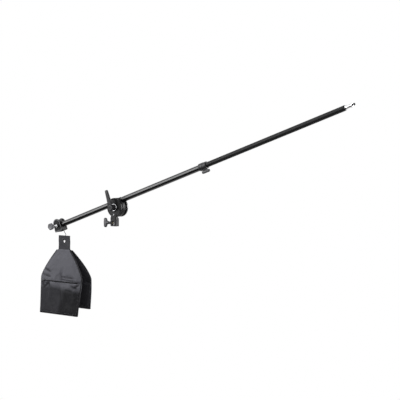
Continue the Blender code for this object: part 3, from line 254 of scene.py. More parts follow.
def marked(piece, name, share):
    """Put a mark of 0 to 1 on a piece's points, keeping the larger value where there is one already."""
    mesh = piece.data
    mark = mesh.attributes.get(name) or mesh.attributes.new(name, "FLOAT", "POINT")
    old = np.zeros(len(mesh.vertices))
    mark.data.foreach_get("value", old)
    mark.data.foreach_set("value", np.maximum(old, share))


def points_of(piece, matrix=Matrix.Identity(4)):
    """Points of a piece seen from a placed frame."""
    m = np.array(matrix.inverted())
    return values(piece.data.vertices, "co") @ m[:3, :3].T + m[:3, 3]


def fitted(piece, material, body, slot, *nodes):
    """Give a piece its material and its body, in place of CAD nodes; the slot is not used."""
    piece.data.materials.clear()
    piece.data.materials.append(material)
    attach(piece, body)
    if nodes:
        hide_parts(*nodes)
    return piece


def mixed(owner, share, first, second):
    """Colour that runs from the first to the second by a share; each is a hex code or an output."""
    first, second = (linear(colour) if isinstance(colour, str) else colour for colour in (first, second))
    return add(owner, "ShaderNodeMix", {0: share, 6: first, 7: second}, data_type="RGBA").outputs[2]


def noise(owner, place, scale, detail, roughness=0.5, distortion=0.0):
    """Noise of a scale in lumps per metre."""
    sizes = {"Scale": scale, "Detail": detail, "Roughness": roughness, "Distortion": distortion}
    return add(owner, "ShaderNodeTexNoise", {"Vector": place, **sizes}).outputs["Fac"]


def mark_of(owner, name):
    """Value of a mark that a piece carries on its points."""
    return add(owner, "ShaderNodeAttribute", attribute_name=name).outputs["Fac"]


def bumped(owner, height, distance, strength, **below):
    """Normal pressed by a height, over another normal where one is given."""
    inputs = {"Height": height, "Distance": distance, "Strength": strength, **below}
    return add(owner, "ShaderNodeBump", inputs).outputs["Normal"]


def finished(material, colour, roughness, normal):
    """Lead a colour, a roughness and a normal to the material's shader."""
    shader = material.node_tree.nodes["Principled BSDF"]
    for name, output in (("Base Color", colour), ("Roughness", roughness), ("Normal", normal)):
        material.node_tree.links.new(output, shader.inputs[name])
    return material


BARE_METAL_AND_GLINT = "#B4B5B7"


def stoved_paint(name, colour, worn, roughness, grain, relief, specular=0.25):
    """Paint with a peel of one grain size in metres and broad mottling, about 22 mm across.

    The edge mark takes it to a worn colour, on some rims also a painted highlight; the recess mark darkens it
    as painted shade; and the bare mark leaves metal, in one spot a painted glint.
    """
    material, shader = shaded(name)
    shader.inputs["Specular IOR Level"].default_value = specular
    place = add(material, "ShaderNodeTexCoord").outputs["Object"]
    peel = noise(material, place, 1 / grain, 3.0, 0.55)
    broad = noise(material, place, 45.0, 4.0, 0.6)
    # Worn edges, which on some rims also stand for a painted highlight.
    wear_and_highlight = maths(material, "MULTIPLY", mark_of(material, "edge"), broad)
    wear_and_highlight = ranged(material, wear_and_highlight, 0.28, 0.62, 0.0, 0.7)
    tone = mixed(material, broad, *colour)
    tone = mixed(material, wear_and_highlight, tone, worn)
    # Painted shade: recesses darkened towards near black.
    tone = mixed(material, mark_of(material, "painted_recess_shade"), tone, "#0A0A0A")
    # Bare metal, which in one spot also serves as a painted glint.
    bare_metal_and_glint = mark_of(material, "bare_metal_and_glint")
    tone = mixed(material, bare_metal_and_glint, tone, BARE_METAL_AND_GLINT)
    material.node_tree.links.new(bare_metal_and_glint, shader.inputs["Metallic"])
    gloss = ranged(material, broad, 0.3, 0.7, roughness - 0.07, roughness + 0.09)
    return finished(material, tone, gloss, bumped(material, peel, relief, 1.0))


# Black stoving paint, nearly without shine: the castings' proud edges show lighter, worn grey, which on the
# cheek's and the hanger's rims is also a painted highlight.
CHALKY_GREY = "#6E6E70"
casting_tones = ("#0C0C0D", "#121213")
casting_paint = stoved_paint("black_stoved_casting", casting_tones, CHALKY_GREY, 0.42, 0.0011, 0.00002, 0.1)
HINGE_HEIGHT = 0.083
socket = cast_skin("socket_casting", 0.0006, 6)
x, y, z = points_of(socket).T
from_hinge = np.hypot(x, z - HINGE_HEIGHT)
bore = (np.hypot(x, y) < 0.0090) * (z < 0.0308) * (z > 0.0002)
window_side = (x > 0.0068) * (x < 0.0086) * (y < -0.006) * (z > 0.0060) * (z < 0.0220)
# The cheek's outer rim: worn edge and partly a painted highlight.
cheek_rim_wear_and_highlight = (y < -0.0051) * (from_hinge > 0.0372)
# A bare spot on the cheek's lower rim above the neck: a painted glint.
painted_neck_glint = (y < -0.003) * np.exp(-((x + 0.0015) ** 2 + (z - 0.051) ** 2) / 0.0032**2)
# The cheek's recess, darkened as painted shade.
cheek_recess_shade = (y < -0.0040) * (y > -0.0048) * (from_hinge > 0.021) * (from_hinge < 0.0370)
marked(socket, "bare_metal_and_glint", bore)
marked(socket, "bare_metal_and_glint", 0.8 * window_side)
marked(socket, "edge", 0.55 * cheek_rim_wear_and_highlight)
marked(socket, "bare_metal_and_glint", 0.7 * painted_neck_glint)
marked(socket, "painted_recess_shade", 0.5 * cheek_recess_shade)
fitted(socket, casting_paint, "socket", "casting", "socket_casting")


# Threaded inserts and pads: small turned pieces pressed into the bosses and pushed by the screws, seen
# only at their ends. The pads and the collar's insert are dull brass.
def recoated(material, *nodes):
    """Give CAD nodes that stay in view their material."""
    for node in nodes:
        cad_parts[node].data.materials.clear()
        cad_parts[node].data.materials.append(material)


def stretched(owner, place, across, along, detail):
    """Noise drawn out into lines: scales across and along the UV map, whose second axis is in metres."""
    place = add(owner, "ShaderNodeMapping", {"Vector": place, "Scale": (across, along, 1.0)}).outputs[0]
    return noise(owner, place, 1.0, detail)


def turned_metal(name, colour, roughness, pitch):
    """Metal with turning lines a pitch apart and 0.01 mm deep, and 6 mm stains that change its gloss."""
    material, shader = shaded(name)
    shader.inputs["Metallic"].default_value = 1.0
    place = add(material, "ShaderNodeTexCoord").outputs
    lines = stretched(material, place["UV"], 2.0, 1 / pitch, 3.0)
    stains = noise(material, place["Object"], 160.0, 4.0)
    gloss = ranged(material, stains, 0.3, 0.7, roughness - 0.05, roughness + 0.1)
    return finished(material, mixed(material, stains, *colour), gloss, bumped(material, lines, 0.00001, 0.6))


# Turned brass, dulled by handling.
brass = turned_metal("turned_brass", ("#7C745F", "#928A74"), 0.32, 0.0004)
recoated(brass, "collar_insert", "lock_pad", "hanger_pad", "socket_pad")


# Socket screw and its T-knob: a zinc-plated M8 screw moulded into a black nylon knob. The bar stands
# upright, and the screw's threads show between the knob's neck and the boss.
def skin(name, *grids):
    """One closed object from grids of points, each with whether its rows and its columns join up.

    Point (i, j) joins (i + 1, j) and (i, j + 1). The UV map holds the share of the way round and the
    metres along the rows.
    """
    points, faces, marks, offset = [], [], [], 0
    for grid, closed_rows, closed_columns in grids:
        rows, columns = grid.shape[:2]
        i = np.arange(rows if closed_rows else rows - 1)[:, None]
        j = np.arange(columns if closed_columns else columns - 1)[None, :]
        near, far = (i % rows) * columns, ((i + 1) % rows) * columns
        left, right = j % columns, (j + 1) % columns
        corners = np.stack(np.broadcast_arrays(near + left, near + right, far + right, far + left), axis=-1)
        steps = np.linalg.norm(np.diff(grid, axis=0, append=grid[:1]), axis=2).max(axis=1)
        length = np.concatenate([[0.0], np.cumsum(steps)])
        u = np.stack(np.broadcast_arrays(j, j + 1, j + 1, j), axis=-1) / columns + 0.0 * corners
        here, ahead = length[i], length[i + 1]
        v = np.stack(np.broadcast_arrays(here, here, ahead, ahead), axis=-1) + 0.0 * corners
        points.append(grid.reshape(-1, 3))
        faces.append(corners.reshape(-1, 4) + offset)
        marks.append(np.stack([u, v], axis=-1).reshape(-1, 2))
        offset += rows * columns
    mesh = bpy.data.meshes.new(name)
    mesh.from_pydata(np.concatenate(points).tolist(), [], np.concatenate(faces).tolist())
    mesh.uv_layers.new(name="UVMap").data.foreach_set("uv", np.concatenate(marks).ravel())
    bm = bmesh.new()
    bm.from_mesh(mesh)
    bmesh.ops.remove_doubles(bm, verts=bm.verts, dist=0.000001)
    bmesh.ops.recalc_face_normals(bm, faces=bm.faces)
    bm.to_mesh(mesh)
    bm.free()
    mesh.shade_smooth()
    return linked(name, mesh)


def placed(grid, matrix):
    """Grid of points carried into the frame by a matrix."""
    m = np.array(matrix)
    return grid @ m[:3, :3].T + m[:3, 3]

def moved(place, angle, axis="X", base=Matrix.Identity(4)):
    """Frame at a place in a base frame, turned by an angle about an axis."""
    return base @ Matrix.Translation(place) @ Matrix.Rotation(angle, 4, axis)


def on_line(name, grid, line, closed=False):
    """Piece of one grid of sections, placed on a line."""
    return skin(name, (placed(grid, line), closed, True))


def rounded(profile, radius, closed=False):
    """Profile whose corners P become curves (1 - s)^2 A + 2 s (1 - s) P + s^2 B.

    A and B lie a radius, or 0.42 of the shorter side, before and after P. A point just outside each keeps
    the flats flat.
    """
    p = np.array(profile, float)
    before, after = np.roll(p, 1, axis=0) - p, np.roll(p, -1, axis=0) - p
    size_before = np.linalg.norm(before, axis=1, keepdims=True)
    size_after = np.linalg.norm(after, axis=1, keepdims=True)
    asked = np.broadcast_to(np.array(radius, float).reshape(-1, 1), (len(p), 1))
    reach = np.minimum(asked, 0.42 * np.minimum(size_before, size_after))
    a, b = p + before / size_before * reach, p + after / size_after * reach
    s = np.linspace(0, 1, 5)[None, :, None]
    curve = (1 - s) ** 2 * a[:, None] + 2 * s * (1 - s) * p[:, None] + s**2 * b[:, None]
    guards = [p + side / size * reach * 1.12 for side, size in ((before, size_before), (after, size_after))]
    rows = np.concatenate([guards[0][:, None], curve, guards[1][:, None]], axis=1)
    if closed:
        return rows.reshape(-1, 2)
    return np.concatenate([p[:1], rows[1:-1].reshape(-1, 2), p[-1:]])


def spun(r, a, h):
    """Rows of points (r cos a, r sin a, h)."""
    x = r * np.cos(a)
    return np.stack([x, r * np.sin(a), np.broadcast_to(h, x.shape)], axis=2)


def turned(profile, around=96):
    """Profile of (r, h) turned about Z."""
    p = np.asarray(profile, float)
    return spun(p[:, :1], np.arange(around) / around * 2 * np.pi, p[:, 1:])


def threaded(radius, start, end, pitch, depth, around=40):
    """Screw thread about Z: r = R - depth * |2 frac(h / pitch - a / 2 pi) - 1|, with flat ends."""
    h = np.linspace(start, end, int((end - start) / pitch * 8) + 1)[:, None]
    a = np.arange(around)[None, :] / around * 2 * np.pi
    wave = np.abs(2 * np.mod(h / pitch - a / (2 * np.pi), 1.0) - 1)
    fade_out = np.clip(np.minimum(h - start, end - h) / pitch, 0, 1)
    r = radius - depth * np.where(fade_out < 1, 1 - (1 - wave) * fade_out, wave)
    middle = np.zeros((1, around, 3))
    return np.concatenate([middle + [0, 0, start], spun(r, a, h), middle + [0, 0, end]])


def lofted(heights, half_long, half_wide, square, around=72):
    """Sections along Z: (A sgn(cos) |cos|^(2/n), B sgn(sin) |sin|^(2/n), h), n being the squareness."""
    h, long, wide = (np.asarray(v, float)[:, None] for v in (heights, half_long, half_wide))
    n = np.broadcast_to(np.asarray(square, float).reshape(-1, 1), h.shape)
    a = np.arange(around)[None, :] / around * 2 * np.pi
    x = long * np.sign(np.cos(a)) * np.abs(np.cos(a)) ** (2 / n)
    y = wide * np.sign(np.sin(a)) * np.abs(np.sin(a)) ** (2 / n)
    return np.stack([x, y, np.broadcast_to(h, x.shape)], axis=2)


def knob_grid(reach, depth, neck):
    """T-knob along Z: a neck that flares into a bar 42 mm long and 11 mm thick, with a domed outer face."""
    inner = reach - depth
    rows = np.array([
        (inner - neck, 0.0, 0.0, 2.0),
        (inner - neck, 0.0052, 0.0052, 2.0),
        (inner - neck + 0.0004, 0.0062, 0.0062, 2.0),
        (inner - neck * 0.5, 0.0070, 0.0066, 2.0),
        (inner - depth * 0.05, 0.0095, 0.0070, 2.1),
        (inner + depth * 0.06, 0.0155, 0.0064, 2.6),
        (inner + depth * 0.16, 0.0192, 0.0056, 3.2),
        (inner + depth * 0.32, 0.0208, 0.0055, 3.6),
        (inner + depth * 0.60, 0.0210, 0.0055, 3.6),
        (inner + depth * 0.80, 0.0205, 0.0054, 3.4),
        (inner + depth * 0.92, 0.0192, 0.0048, 3.2),
        (reach - depth * 0.02, 0.0168, 0.0034, 3.0),
        (reach, 0.0120, 0.0016, 2.6),
        (reach, 0.0, 0.0, 2.0),
    ])
    return lofted(rows[:, 0], rows[:, 1], rows[:, 2], rows[:, 3])


def moulded_plastic(name, colour, roughness, grain, relief):
    """Moulded plastic with a spark-eroded grain in metres and slight shine where it is handled."""
    material = stoved_paint(name, colour, colour[1], roughness, grain, relief, 0.4)
    material.node_tree.nodes["Principled BSDF"].inputs["IOR"].default_value = 1.46
    return material


def pipe(outer, inner, start, end):
    """Profile of a pipe or a flat washer."""
    return [(outer, end), (outer, start), (inner, start), (inner, end)]


# Bright zinc plate, black nylon with an eroded grain, and oil-blackened steel.
plated = turned_metal("zinc_plated_steel", ("#8F9091", "#AEAFB0"), 0.28, 0.0005)
knob_plastic = moulded_plastic("moulded_black_nylon", ("#2A2A2C", "#343437"), 0.46, 0.0009, 0.00005)
black_screw = turned_metal("blackened_screw", ("#1F1F20", "#2C2C2D"), 0.38, 0.0005)
SCREW_HEIGHT = 0.0145
M8_RADIUS = 0.004
M8_PITCH = 0.00125
screw_line = moved((0, 0, SCREW_HEIGHT), -math.pi / 2, "Y")
socket_knob = on_line("socket_t_knob", knob_grid(0.0635, 0.016, 0.017), screw_line)
fitted(socket_knob, knob_plastic, "socket_knob", "plastic", "socket_knob")
recoated(black_screw, "socket_insert")
socket_screw = on_line("socket_threads", threaded(M8_RADIUS, 0.0101, 0.058, M8_PITCH, 0.0007), screw_line)
fitted(socket_screw, black_screw, "socket_knob", "steel", "socket_screw")

# Friction disc, two round jaws and their rubber liners: the jaws are castings like the socket, their
# grooves lined with black rubber. Two steel dowels keep them in line, and a spring parts them.
hinge_line = moved((0, 0, HINGE_HEIGHT), -math.pi / 2)
# The rear jaw's paint has kept more shine. Black rubber, with a fine moulded grain.
jaw_paint = stoved_paint("black_jaw_paint", ("#161617", "#1F1F20"), CHALKY_GREY, 0.36, 0.0011, 0.00002, 0.4)
rubber = stoved_paint("black_moulded_rubber", ("#161616", "#202020"), "#2C2C2C", 0.8, 0.0008, 0.00006)
fitted(cast_skin("front_jaw", 0.0006, 5), casting_paint, "jaws", "casting", "front_jaw")
fitted(cast_skin("rear_jaw", 0.0006, 6), jaw_paint, "rear_clamp", "casting", "rear_jaw")
disc_grid = turned(rounded(pipe(0.040, 0.0043, 0.0058, 0.0073), 0.0003, closed=True))
friction_disc = on_line("friction_washer", disc_grid, hinge_line, closed=True)
fitted(friction_disc, rubber, "jaws", "rubber", "friction_disc")
recoated(rubber, "front_liner", "rear_liner")
recoated(plated, "dowel_left", "dowel_right", "jaw_spring", "lever_spring", "clamp_nut", "hanger_insert")

# Centre bolt: a plated hexagon bolt through both jaws and the cheek, with a flat washer under its
# chamfered head at the back.
washer_grid = turned(rounded(pipe(0.010, 0.0043, 0.0448, 0.0464), 0.0004, closed=True))
bolt_washer = on_line("plated_bolt_washer", washer_grid, hinge_line, closed=True)
fitted(bolt_washer, plated, "rear_clamp", "steel", "bolt_washer")


def hexagon_head(start, end, across, chamfer):
    """Hexagon head about Z: r = A / cos(a wrapped to a sixth), its outer end turned down to a cone."""
    a = np.arange(96) / 96 * 2 * np.pi
    wrapped = np.mod(a, np.pi / 3) - np.pi / 6
    side = across / np.cos(wrapped)
    cone = across * 1.02
    rim = end - np.clip(side - cone, 0, None) * chamfer
    rows = [(0 * side, start + 0 * side), (side, start + 0 * side), (side, rim)]
    rows += [(np.minimum(side, cone), end + 0 * side), (0 * side, end + 0 * side)]
    return np.stack([np.stack([r * np.cos(a), r * np.sin(a), h], axis=1) for r, h in rows])


head_grid = placed(hexagon_head(0.0467, 0.0522, 0.0065, 0.55), hinge_line)
bolt_profile = rounded([(0, -0.0129), (M8_RADIUS, -0.0129), (M8_RADIUS, 0.0467), (0, 0.0467)], 0.0004)
shank_grid = placed(turned(bolt_profile, 48), hinge_line)
bolt = skin("plated_centre_bolt", (head_grid, False, True), (shank_grid, False, True))
bolt.data.set_sharp_from_angle(angle=math.radians(25))
fitted(bolt, plated, "rear_clamp", "steel", "centre_bolt")

# Thrust washer, lever and its screw: the lever is a black painted casting that grips the serrated nut
# and turns it. The washer under it is oiled dark, its rim rubbed bright, and the hub's screw is blackened.
oiled_tones = ("#151515", "#232324")
oiled_steel = stoved_paint("oil_blackened_washer", oiled_tones, BARE_METAL_AND_GLINT, 0.34, 0.0009, 0.00001, 0.4)
# Black lever paint, a little lighter than the castings' and worn at the edges.
lever_paint = stoved_paint("black_lever_paint", ("#1A1A1C", "#222224"), "#68686A", 0.4, 0.0012, 0.00002, 0.17)
thrust_profile = [(0.0165, -0.0058), (0.0165, -0.0062), (0.0152, -0.0073)]
thrust_profile += [(0.0043, -0.0073), (0.0043, -0.0058)]
thrust_grid = turned(rounded(thrust_profile, 0.0002, closed=True))
thrust_washer = on_line("bright_thrust_washer", thrust_grid, hinge_line, closed=True)
x, y, z = points_of(thrust_washer).T
marked(thrust_washer, "bare_metal_and_glint", np.clip((np.hypot(x, z - HINGE_HEIGHT) - 0.0146) / 0.0004, 0, 1))
fitted(thrust_washer, oiled_steel, "clamp_nut", "steel", "thrust_washer")
hub_profile = [(0.0078, -0.0076), (0.013, -0.0076), (0.013, -0.0302), (0.0053, -0.0302)]
hub_profile += [(0.0053, -0.0205), (0.0031, -0.0205), (0.0031, -0.0187), (0.0074, -0.0187)]
hub_round = [0.0004, 0.0008, 0.0030, 0.0005, 0.0002, 0.0002, 0.0002, 0.0002]
hub_grid = placed(turned(rounded(hub_profile, hub_round, closed=True), 72), hinge_line)
LEVER_LEAN, LEVER_RAKE = math.radians(-15.5), math.radians(5)
blade_line = moved((0, -0.0243, HINGE_HEIGHT), LEVER_LEAN, "Y")
blade_line = blade_line @ Matrix.Rotation(LEVER_RAKE, 4, "X")
blade_rows = np.array([
    (0.0062, 0.0, 0.0, 3.0),
    (0.0062, 0.0095, 0.0036, 3.0),
    (0.0074, 0.0120, 0.0043, 3.4),
    (0.0120, 0.0129, 0.0047, 3.8),
    (0.0240, 0.0117, 0.0047, 3.8),
    (0.0440, 0.0097, 0.0046, 3.8),
    (0.0620, 0.0087, 0.0045, 3.8),
    (0.0740, 0.0079, 0.0044, 3.6),
    (0.0775, 0.0071, 0.0040, 3.2),
    (0.0792, 0.0057, 0.0030, 3.0),
    (0.0799, 0.0036, 0.0016, 2.6),
    (0.0800, 0.0, 0.0, 2.0),
])
blade_grid = placed(lofted(*blade_rows.T[:3], blade_rows[:, 3]), blade_line)
lever = skin("cast_lever", (hub_grid, True, True), (blade_grid, False, True))
fitted(lever, lever_paint, "lever", "plastic", "lever")
screw_profile = [(0, -0.0282), (0.0022, -0.0282), (0.0022, -0.0302), (0.0047, -0.0302)]
screw_profile += [(0.0047, -0.0272), (0.0025, -0.0272), (0.0025, -0.0138), (0, -0.0138)]
screw_grid = turned(rounded(screw_profile, [0, 0.0002, 0.0003, 0.0006, 0.0002, 0.0002, 0.0003, 0]), 60)
lever_screw = on_line("socket_head_lever_screw", screw_grid, hinge_line)
fitted(lever_screw, black_screw, "clamp_nut", "steel", "lever_screw")

# Lower tube and its tail plug: drawn steel tube, 25 mm across, with a smooth gloss black lacquer over
# faint drawing lines. The plug is a black moulded cap pushed into the tail.
TILT = math.radians(18.2)
arm_line = moved((0, 0, HINGE_HEIGHT), -TILT, "Y")
arm_line = arm_line @ Matrix.Translation((0, 0.0245, 0.025))
along_arm = arm_line @ Matrix.Rotation(math.pi / 2, 4, "Y")


def lacquered_tube(name, colour, roughness, specular):
    """Lacquer over drawn tube: 60 streaks round it and 170 mm long, and dull patches 55 mm across."""
    material, shader = shaded(name)
    shader.inputs["Specular IOR Level"].default_value = specular
    place = add(material, "ShaderNodeTexCoord").outputs
    streaks = stretched(material, place["UV"], 60.0, 6.0, 4.0)
    patches = noise(material, place["Object"], 18.0, 5.0, 0.6)
    gloss = ranged(material, patches, 0.35, 0.7, roughness - 0.04, roughness + 0.08)
    tone = mixed(material, patches, *colour)
    return finished(material, tone, gloss, bumped(material, streaks, 0.00002, 0.5))


# Gloss black lacquer over drawn steel.
gloss_tube = lacquered_tube("gloss_black_lacquer", ("#040405", "#080809"), 0.26, 0.42)
lower_grid = turned(rounded(pipe(0.0125, 0.0113, -0.409, 0.510), 0.0003, closed=True))
lower_tube = on_line("lacquered_lower_tube", lower_grid, along_arm, closed=True)
fitted(lower_tube, gloss_tube, "arm", "tube_gloss", "lower_tube")
plug_profile = [(0, -0.3913), (0.0110, -0.3913), (0.0110, -0.4093)]
plug_profile += [(0.0125, -0.4093), (0.0125, -0.4113), (0, -0.4113)]
plug_grid = turned(rounded(plug_profile, [0, 0.0006, 0.0002, 0.0003, 0.0012, 0]))
tail_plug = on_line("tail_cap", plug_grid, along_arm)
fitted(tail_plug, knob_plastic, "arm", "plastic", "tail_plug")

# Lock collar: black nylon, moulded with a thicker ring over the lower tube's end and fixed to it by a
# rivet on each side. A boss below takes the T-screw that clamps the upper tube.
collar_plastic = moulded_plastic("moulded_collar_nylon", ("#131314", "#1B1B1D"), 0.46, 0.0009, 0.00004)
COLLAR_RIVETS, COLLAR_BOSS = 0.5045, 0.5235
collar_profile = [(0.0153, 0.537), (0.0153, 0.5212), (0.0164, 0.5196), (0.0164, 0.499)]
collar_profile += [(0.0128, 0.499), (0.0128, 0.5103), (0.0113, 0.5103), (0.0113, 0.537)]
collar_round = [0.0014, 0.0010, 0.0010, 0.0016, 0.0003, 0.0002, 0.0002, 0.0003]
collar_grid = placed(turned(rounded(collar_profile, collar_round, closed=True)), along_arm)
lock_line = moved((COLLAR_BOSS, 0, 0), math.pi, base=arm_line)
boss_profile = [(0.0043, 0.0166), (0.0085, 0.0166), (0.0092, 0.0128), (0.0085, 0.0120), (0.0043, 0.0120)]
boss_round = [0.0003, 0.0009, 0.0005, 0.0002, 0.0002]
boss_grid = placed(turned(rounded(boss_profile, boss_round, closed=True), 60), lock_line)
lock_collar = skin("moulded_lock_collar", (collar_grid, True, True), (boss_grid, True, True))
fitted(lock_collar, collar_plastic, "arm", "plastic", "lock_collar")
BOTH_SIDES = (("front", math.pi / 2), ("rear", -math.pi / 2))
rivet_profile = [(0, 0.0175), (0.0021, 0.0172), (0.0030, 0.0167)]
rivet_profile += [(0.0016, 0.0165), (0.0016, 0.0116), (0, 0.0116)]
rivet_grid = turned(rounded(rivet_profile, [0, 0.0006, 0.0003, 0.0002, 0.0002, 0]), 32)
for side_name, turn in BOTH_SIDES:
    rivet_line = moved((COLLAR_RIVETS, 0, 0), turn, base=arm_line)
    rivet = on_line("dome_rivet_" + side_name, rivet_grid, rivet_line)
    fitted(rivet, black_screw, "arm", "steel", "collar_rivet_" + side_name)

# Lock screw: a plated M8 screw moulded into the same nylon T-knob as the socket's, here with almost no
# neck. It goes into the collar's boss from below, and its bar rests in line with the arm.
lock_knob = on_line("lock_t_knob", knob_grid(0.0302, 0.0127, 0.0005), lock_line)
fitted(lock_knob, knob_plastic, "lock_knob", "plastic", "lock_knob")
lock_screw = on_line("lock_threads", threaded(M8_RADIUS, 0.0131, 0.026, M8_PITCH, 0.0007), lock_line)
fitted(lock_screw, plated, "lock_knob", "steel", "lock_screw")

# Upper tube on its slide bush: 22 mm drawn steel with a satin black lacquer, guided in the lower tube by
# a moulded bush on its hidden end.
satin_tube = lacquered_tube("satin_black_lacquer", ("#0C0C0D", "#131314"), 0.5, 0.15)
upper_grid = turned(rounded(pipe(0.011, 0.0098, 0.415, 1.235), 0.0003, closed=True))
upper_tube = on_line("lacquered_upper_tube", upper_grid, along_arm, closed=True)
fitted(upper_tube, satin_tube, "upper", "tube_satin", "upper_tube")
recoated(collar_plastic, "slide_bush")

# Stud: turned bright steel, 16 mm across with a long waist, on a blackened foot pinned into the upper
# tube by two cross pins. Its blackened tip carries a coarse thread.
bright_steel = turned_metal("ground_bright_steel", ("#A9A9AA", "#C4C4C5"), 0.24, 0.0006)
stud_profile = [(0, 1.2603), (0.0050, 1.2603), (0.0050, 1.2698), (0.008, 1.2698), (0.008, 1.2620)]
stud_profile += [(0.0068, 1.2608), (0.0068, 1.2468), (0.008, 1.2456), (0.008, 1.2384)]
stud_profile += [(0.0074, 1.2378), (0, 1.2378)]
stud_round = [0, 0.0002, 0.0003, 0.0010, 0.0004, 0.0004, 0.0004, 0.0004, 0.0004, 0.0003, 0]
stud = on_line("turned_stud", turned(rounded(stud_profile, stud_round), 80), along_arm)
fitted(stud, bright_steel, "upper", "steel", "stud")
foot_profile = [(0, 1.2380), (0.0098, 1.2380), (0.0102, 1.2376), (0.0102, 1.2353), (0.0095, 1.2353)]
foot_profile += [(0.0095, 1.205), (0, 1.205)]
foot_grid = turned(rounded(foot_profile, [0, 0.0003, 0.0003, 0.0003, 0.0002, 0.0003, 0]), 80)
stud_foot = on_line("blackened_stud_foot", foot_grid, along_arm)
fitted(stud_foot, black_screw, "upper", "steel", "stud")
stud_tip = on_line("threaded_stud_tip", threaded(0.00475, 1.2598, 1.2808, 0.0016, 0.0008), along_arm)
fitted(stud_tip, black_screw, "upper", "dark_steel", "stud_tip")
pin_grid = turned(rounded([(0, -0.0108), (0.002, -0.0108), (0.002, 0.0108), (0, 0.0108)], 0.0005), 32)
for name, along in (("outer", 1.226), ("inner", 1.214)):
    pin_line = moved((along, 0, 0), -math.pi / 2, base=arm_line)
    pin = on_line("stud_cross_pin_" + name, pin_grid, pin_line)
    fitted(pin, plated, "upper", "steel", "stud_pin_" + name)

# Hanging clamp: a casting whose two side plates have a raised rim, joined by the sleeve round the tube.
# A rod between its end walls carries the hook.
hanger = cast_skin("hanger_body", 0.0006, 5)
hanger_frame = moved((-0.383, 0, 0), math.radians(3), base=arm_line)
depth = np.abs(points_of(hanger, hanger_frame)[:, 1])
# The side plates' raised rim is marked as worn edge and partly a painted highlight; the recess inside it is
# darkened as painted shade.
marked(hanger, "edge", 1.5 * (depth > 0.0186) * (depth < 0.0194))
marked(hanger, "painted_recess_shade", 0.85 * (depth > 0.0166) * (depth < 0.0178))
fitted(hanger, casting_paint, "hanger", "casting", "hanger_body")

# Star knob: a six-lobed nylon head on a neck, moulded over a bright M8 screw that shows its threads.
hanger_line = hanger_frame @ Matrix.Rotation(math.pi / 2, 4, "X")


def star_grid(rows, lobes, depth, around=144):
    """Lobed head about Z: r = R (1 - d (1 - cos(k a)) / 2), d fading with each row's share."""
    r, h, share = (np.array(rows, float)[:, i:i + 1] for i in range(3))
    a = np.arange(around)[None, :] / around * 2 * np.pi
    reach = r * (1 - depth * share * (1 - np.cos(lobes * a)) / 2)
    return spun(reach, a, h)


star_rows = [
    (0.0, 0.0410, 0), (0.0058, 0.0410, 0), (0.0064, 0.0416, 0), (0.0072, 0.0470, 0), (0.0084, 0.0515, 0.2),
    (0.0120, 0.0521, 0.6), (0.0148, 0.0526, 1), (0.0158, 0.0540, 1), (0.0160, 0.0556, 1), (0.0160, 0.0612, 1),
    (0.0158, 0.0630, 1), (0.0150, 0.0642, 1), (0.0138, 0.0648, 1), (0.0120, 0.0650, 1), (0.0112, 0.0647, 0.7),
    (0.0104, 0.0641, 0.3), (0.0098, 0.0640, 0), (0.0, 0.0640, 0),
]
# Nylon bleached to dark grey.
star_plastic = moulded_plastic("moulded_grey_nylon", ("#434346", "#4F4F52"), 0.4, 0.0009, 0.00004)
star_knob = on_line("star_knob_head", star_grid(star_rows, 6, 0.11), hanger_line)
fitted(star_knob, star_plastic, "hanger_knob", "plastic", "hanger_knob")
hanger_screw = on_line("star_knob_threads", threaded(M8_RADIUS, 0.0146, 0.060, M8_PITCH, 0.0006), hanger_line)
fitted(hanger_screw, bright_steel, "hanger_knob", "steel", "hanger_screw")


# S-hook: 3 mm round steel wire, bent to an S and plated, over the clamp's rod and through the bag's
# eyelet. Its ends are dressed round.
def unit(vectors):
    """Rows of vectors at unit length."""
    return vectors / np.linalg.norm(vectors, axis=1, keepdims=True)


def swept(path, section, reference):
    """Section of (u, v) offsets carried along a path: P + u S + v N, with S square to the reference."""
    p = np.asarray(path, float)
    t = unit(np.gradient(p, axis=0))
    side = unit(np.cross(t, reference))
    up = np.cross(side, t)
    s = np.asarray(section, float)
    if s.ndim == 2:
        s = np.broadcast_to(s, (len(p), *s.shape))
    return p[:, None] + s[..., :1] * side[:, None] + s[..., 1:] * up[:, None]


def arc(centre, radius, start, end, count):
    """Points (0, y, z) on a circle in the YZ plane, angles in degrees."""
    a = np.radians(np.linspace(start, end, count))
    return np.stack([0 * a, centre[0] + radius * np.cos(a), centre[1] + radius * np.sin(a)], axis=1)

def ellipse(count, half_u, half_v):
    """Section of (u, v) points: (A cos a, B sin a)."""
    a = np.arange(count) / count * 2 * np.pi
    return np.stack([np.cos(a) * half_u, np.sin(a) * half_v], axis=1)


# Dull zinc plate on drawn wire.
hook_steel = turned_metal("dull_zinc_hook_wire", ("#58585A", "#6E6E70"), 0.32, 0.0009)
hook_at = np.array([-0.349138, 0.030734, -0.030112])
upper = arc((0, -0.001368), 0.0058, -15, 215, 44)
bend = arc((0.0032, 0), 0.0058, 35, 0, 10)
lower = arc((0, -0.041363), 0.0090, 0, -165, 40)
bend[:, 2] += upper[-1, 2] - (bend[0, 1] - upper[-1, 1]) / math.tan(math.radians(35)) - bend[0, 2]
between = np.linspace(0.06, 0.94, 12)[:, None]
crossing = upper[-1] + (bend[0] - upper[-1]) * between
falling = bend[-1] + (lower[0] - bend[-1]) * between
hook_path = np.concatenate([upper, crossing, bend, falling, lower]) + hook_at
end_round = np.sqrt(np.clip(1 - (1 - np.array([0.0, 0.35, 0.7, 0.93])) ** 2, 0, 1))
share = np.ones(len(hook_path))
share[:4], share[-4:] = end_round, end_round[::-1]
hook_path[1:4] = hook_path[0] + (hook_path[4] - hook_path[0]) * np.array([0.10, 0.35, 0.7])[:, None]
hook_path[-4:-1] = hook_path[-1] + (hook_path[-5] - hook_path[-1]) * np.array([0.7, 0.35, 0.10])[:, None]
wire = ellipse(24, 0.0015, 0.0015)[None] * share[:, None, None]
hook = skin("plated_s_hook", (swept(hook_path, wire, (1.0, 0.0, 0.0)), False, True))
fitted(hook, hook_steel, "hook", "steel", "s_hook")


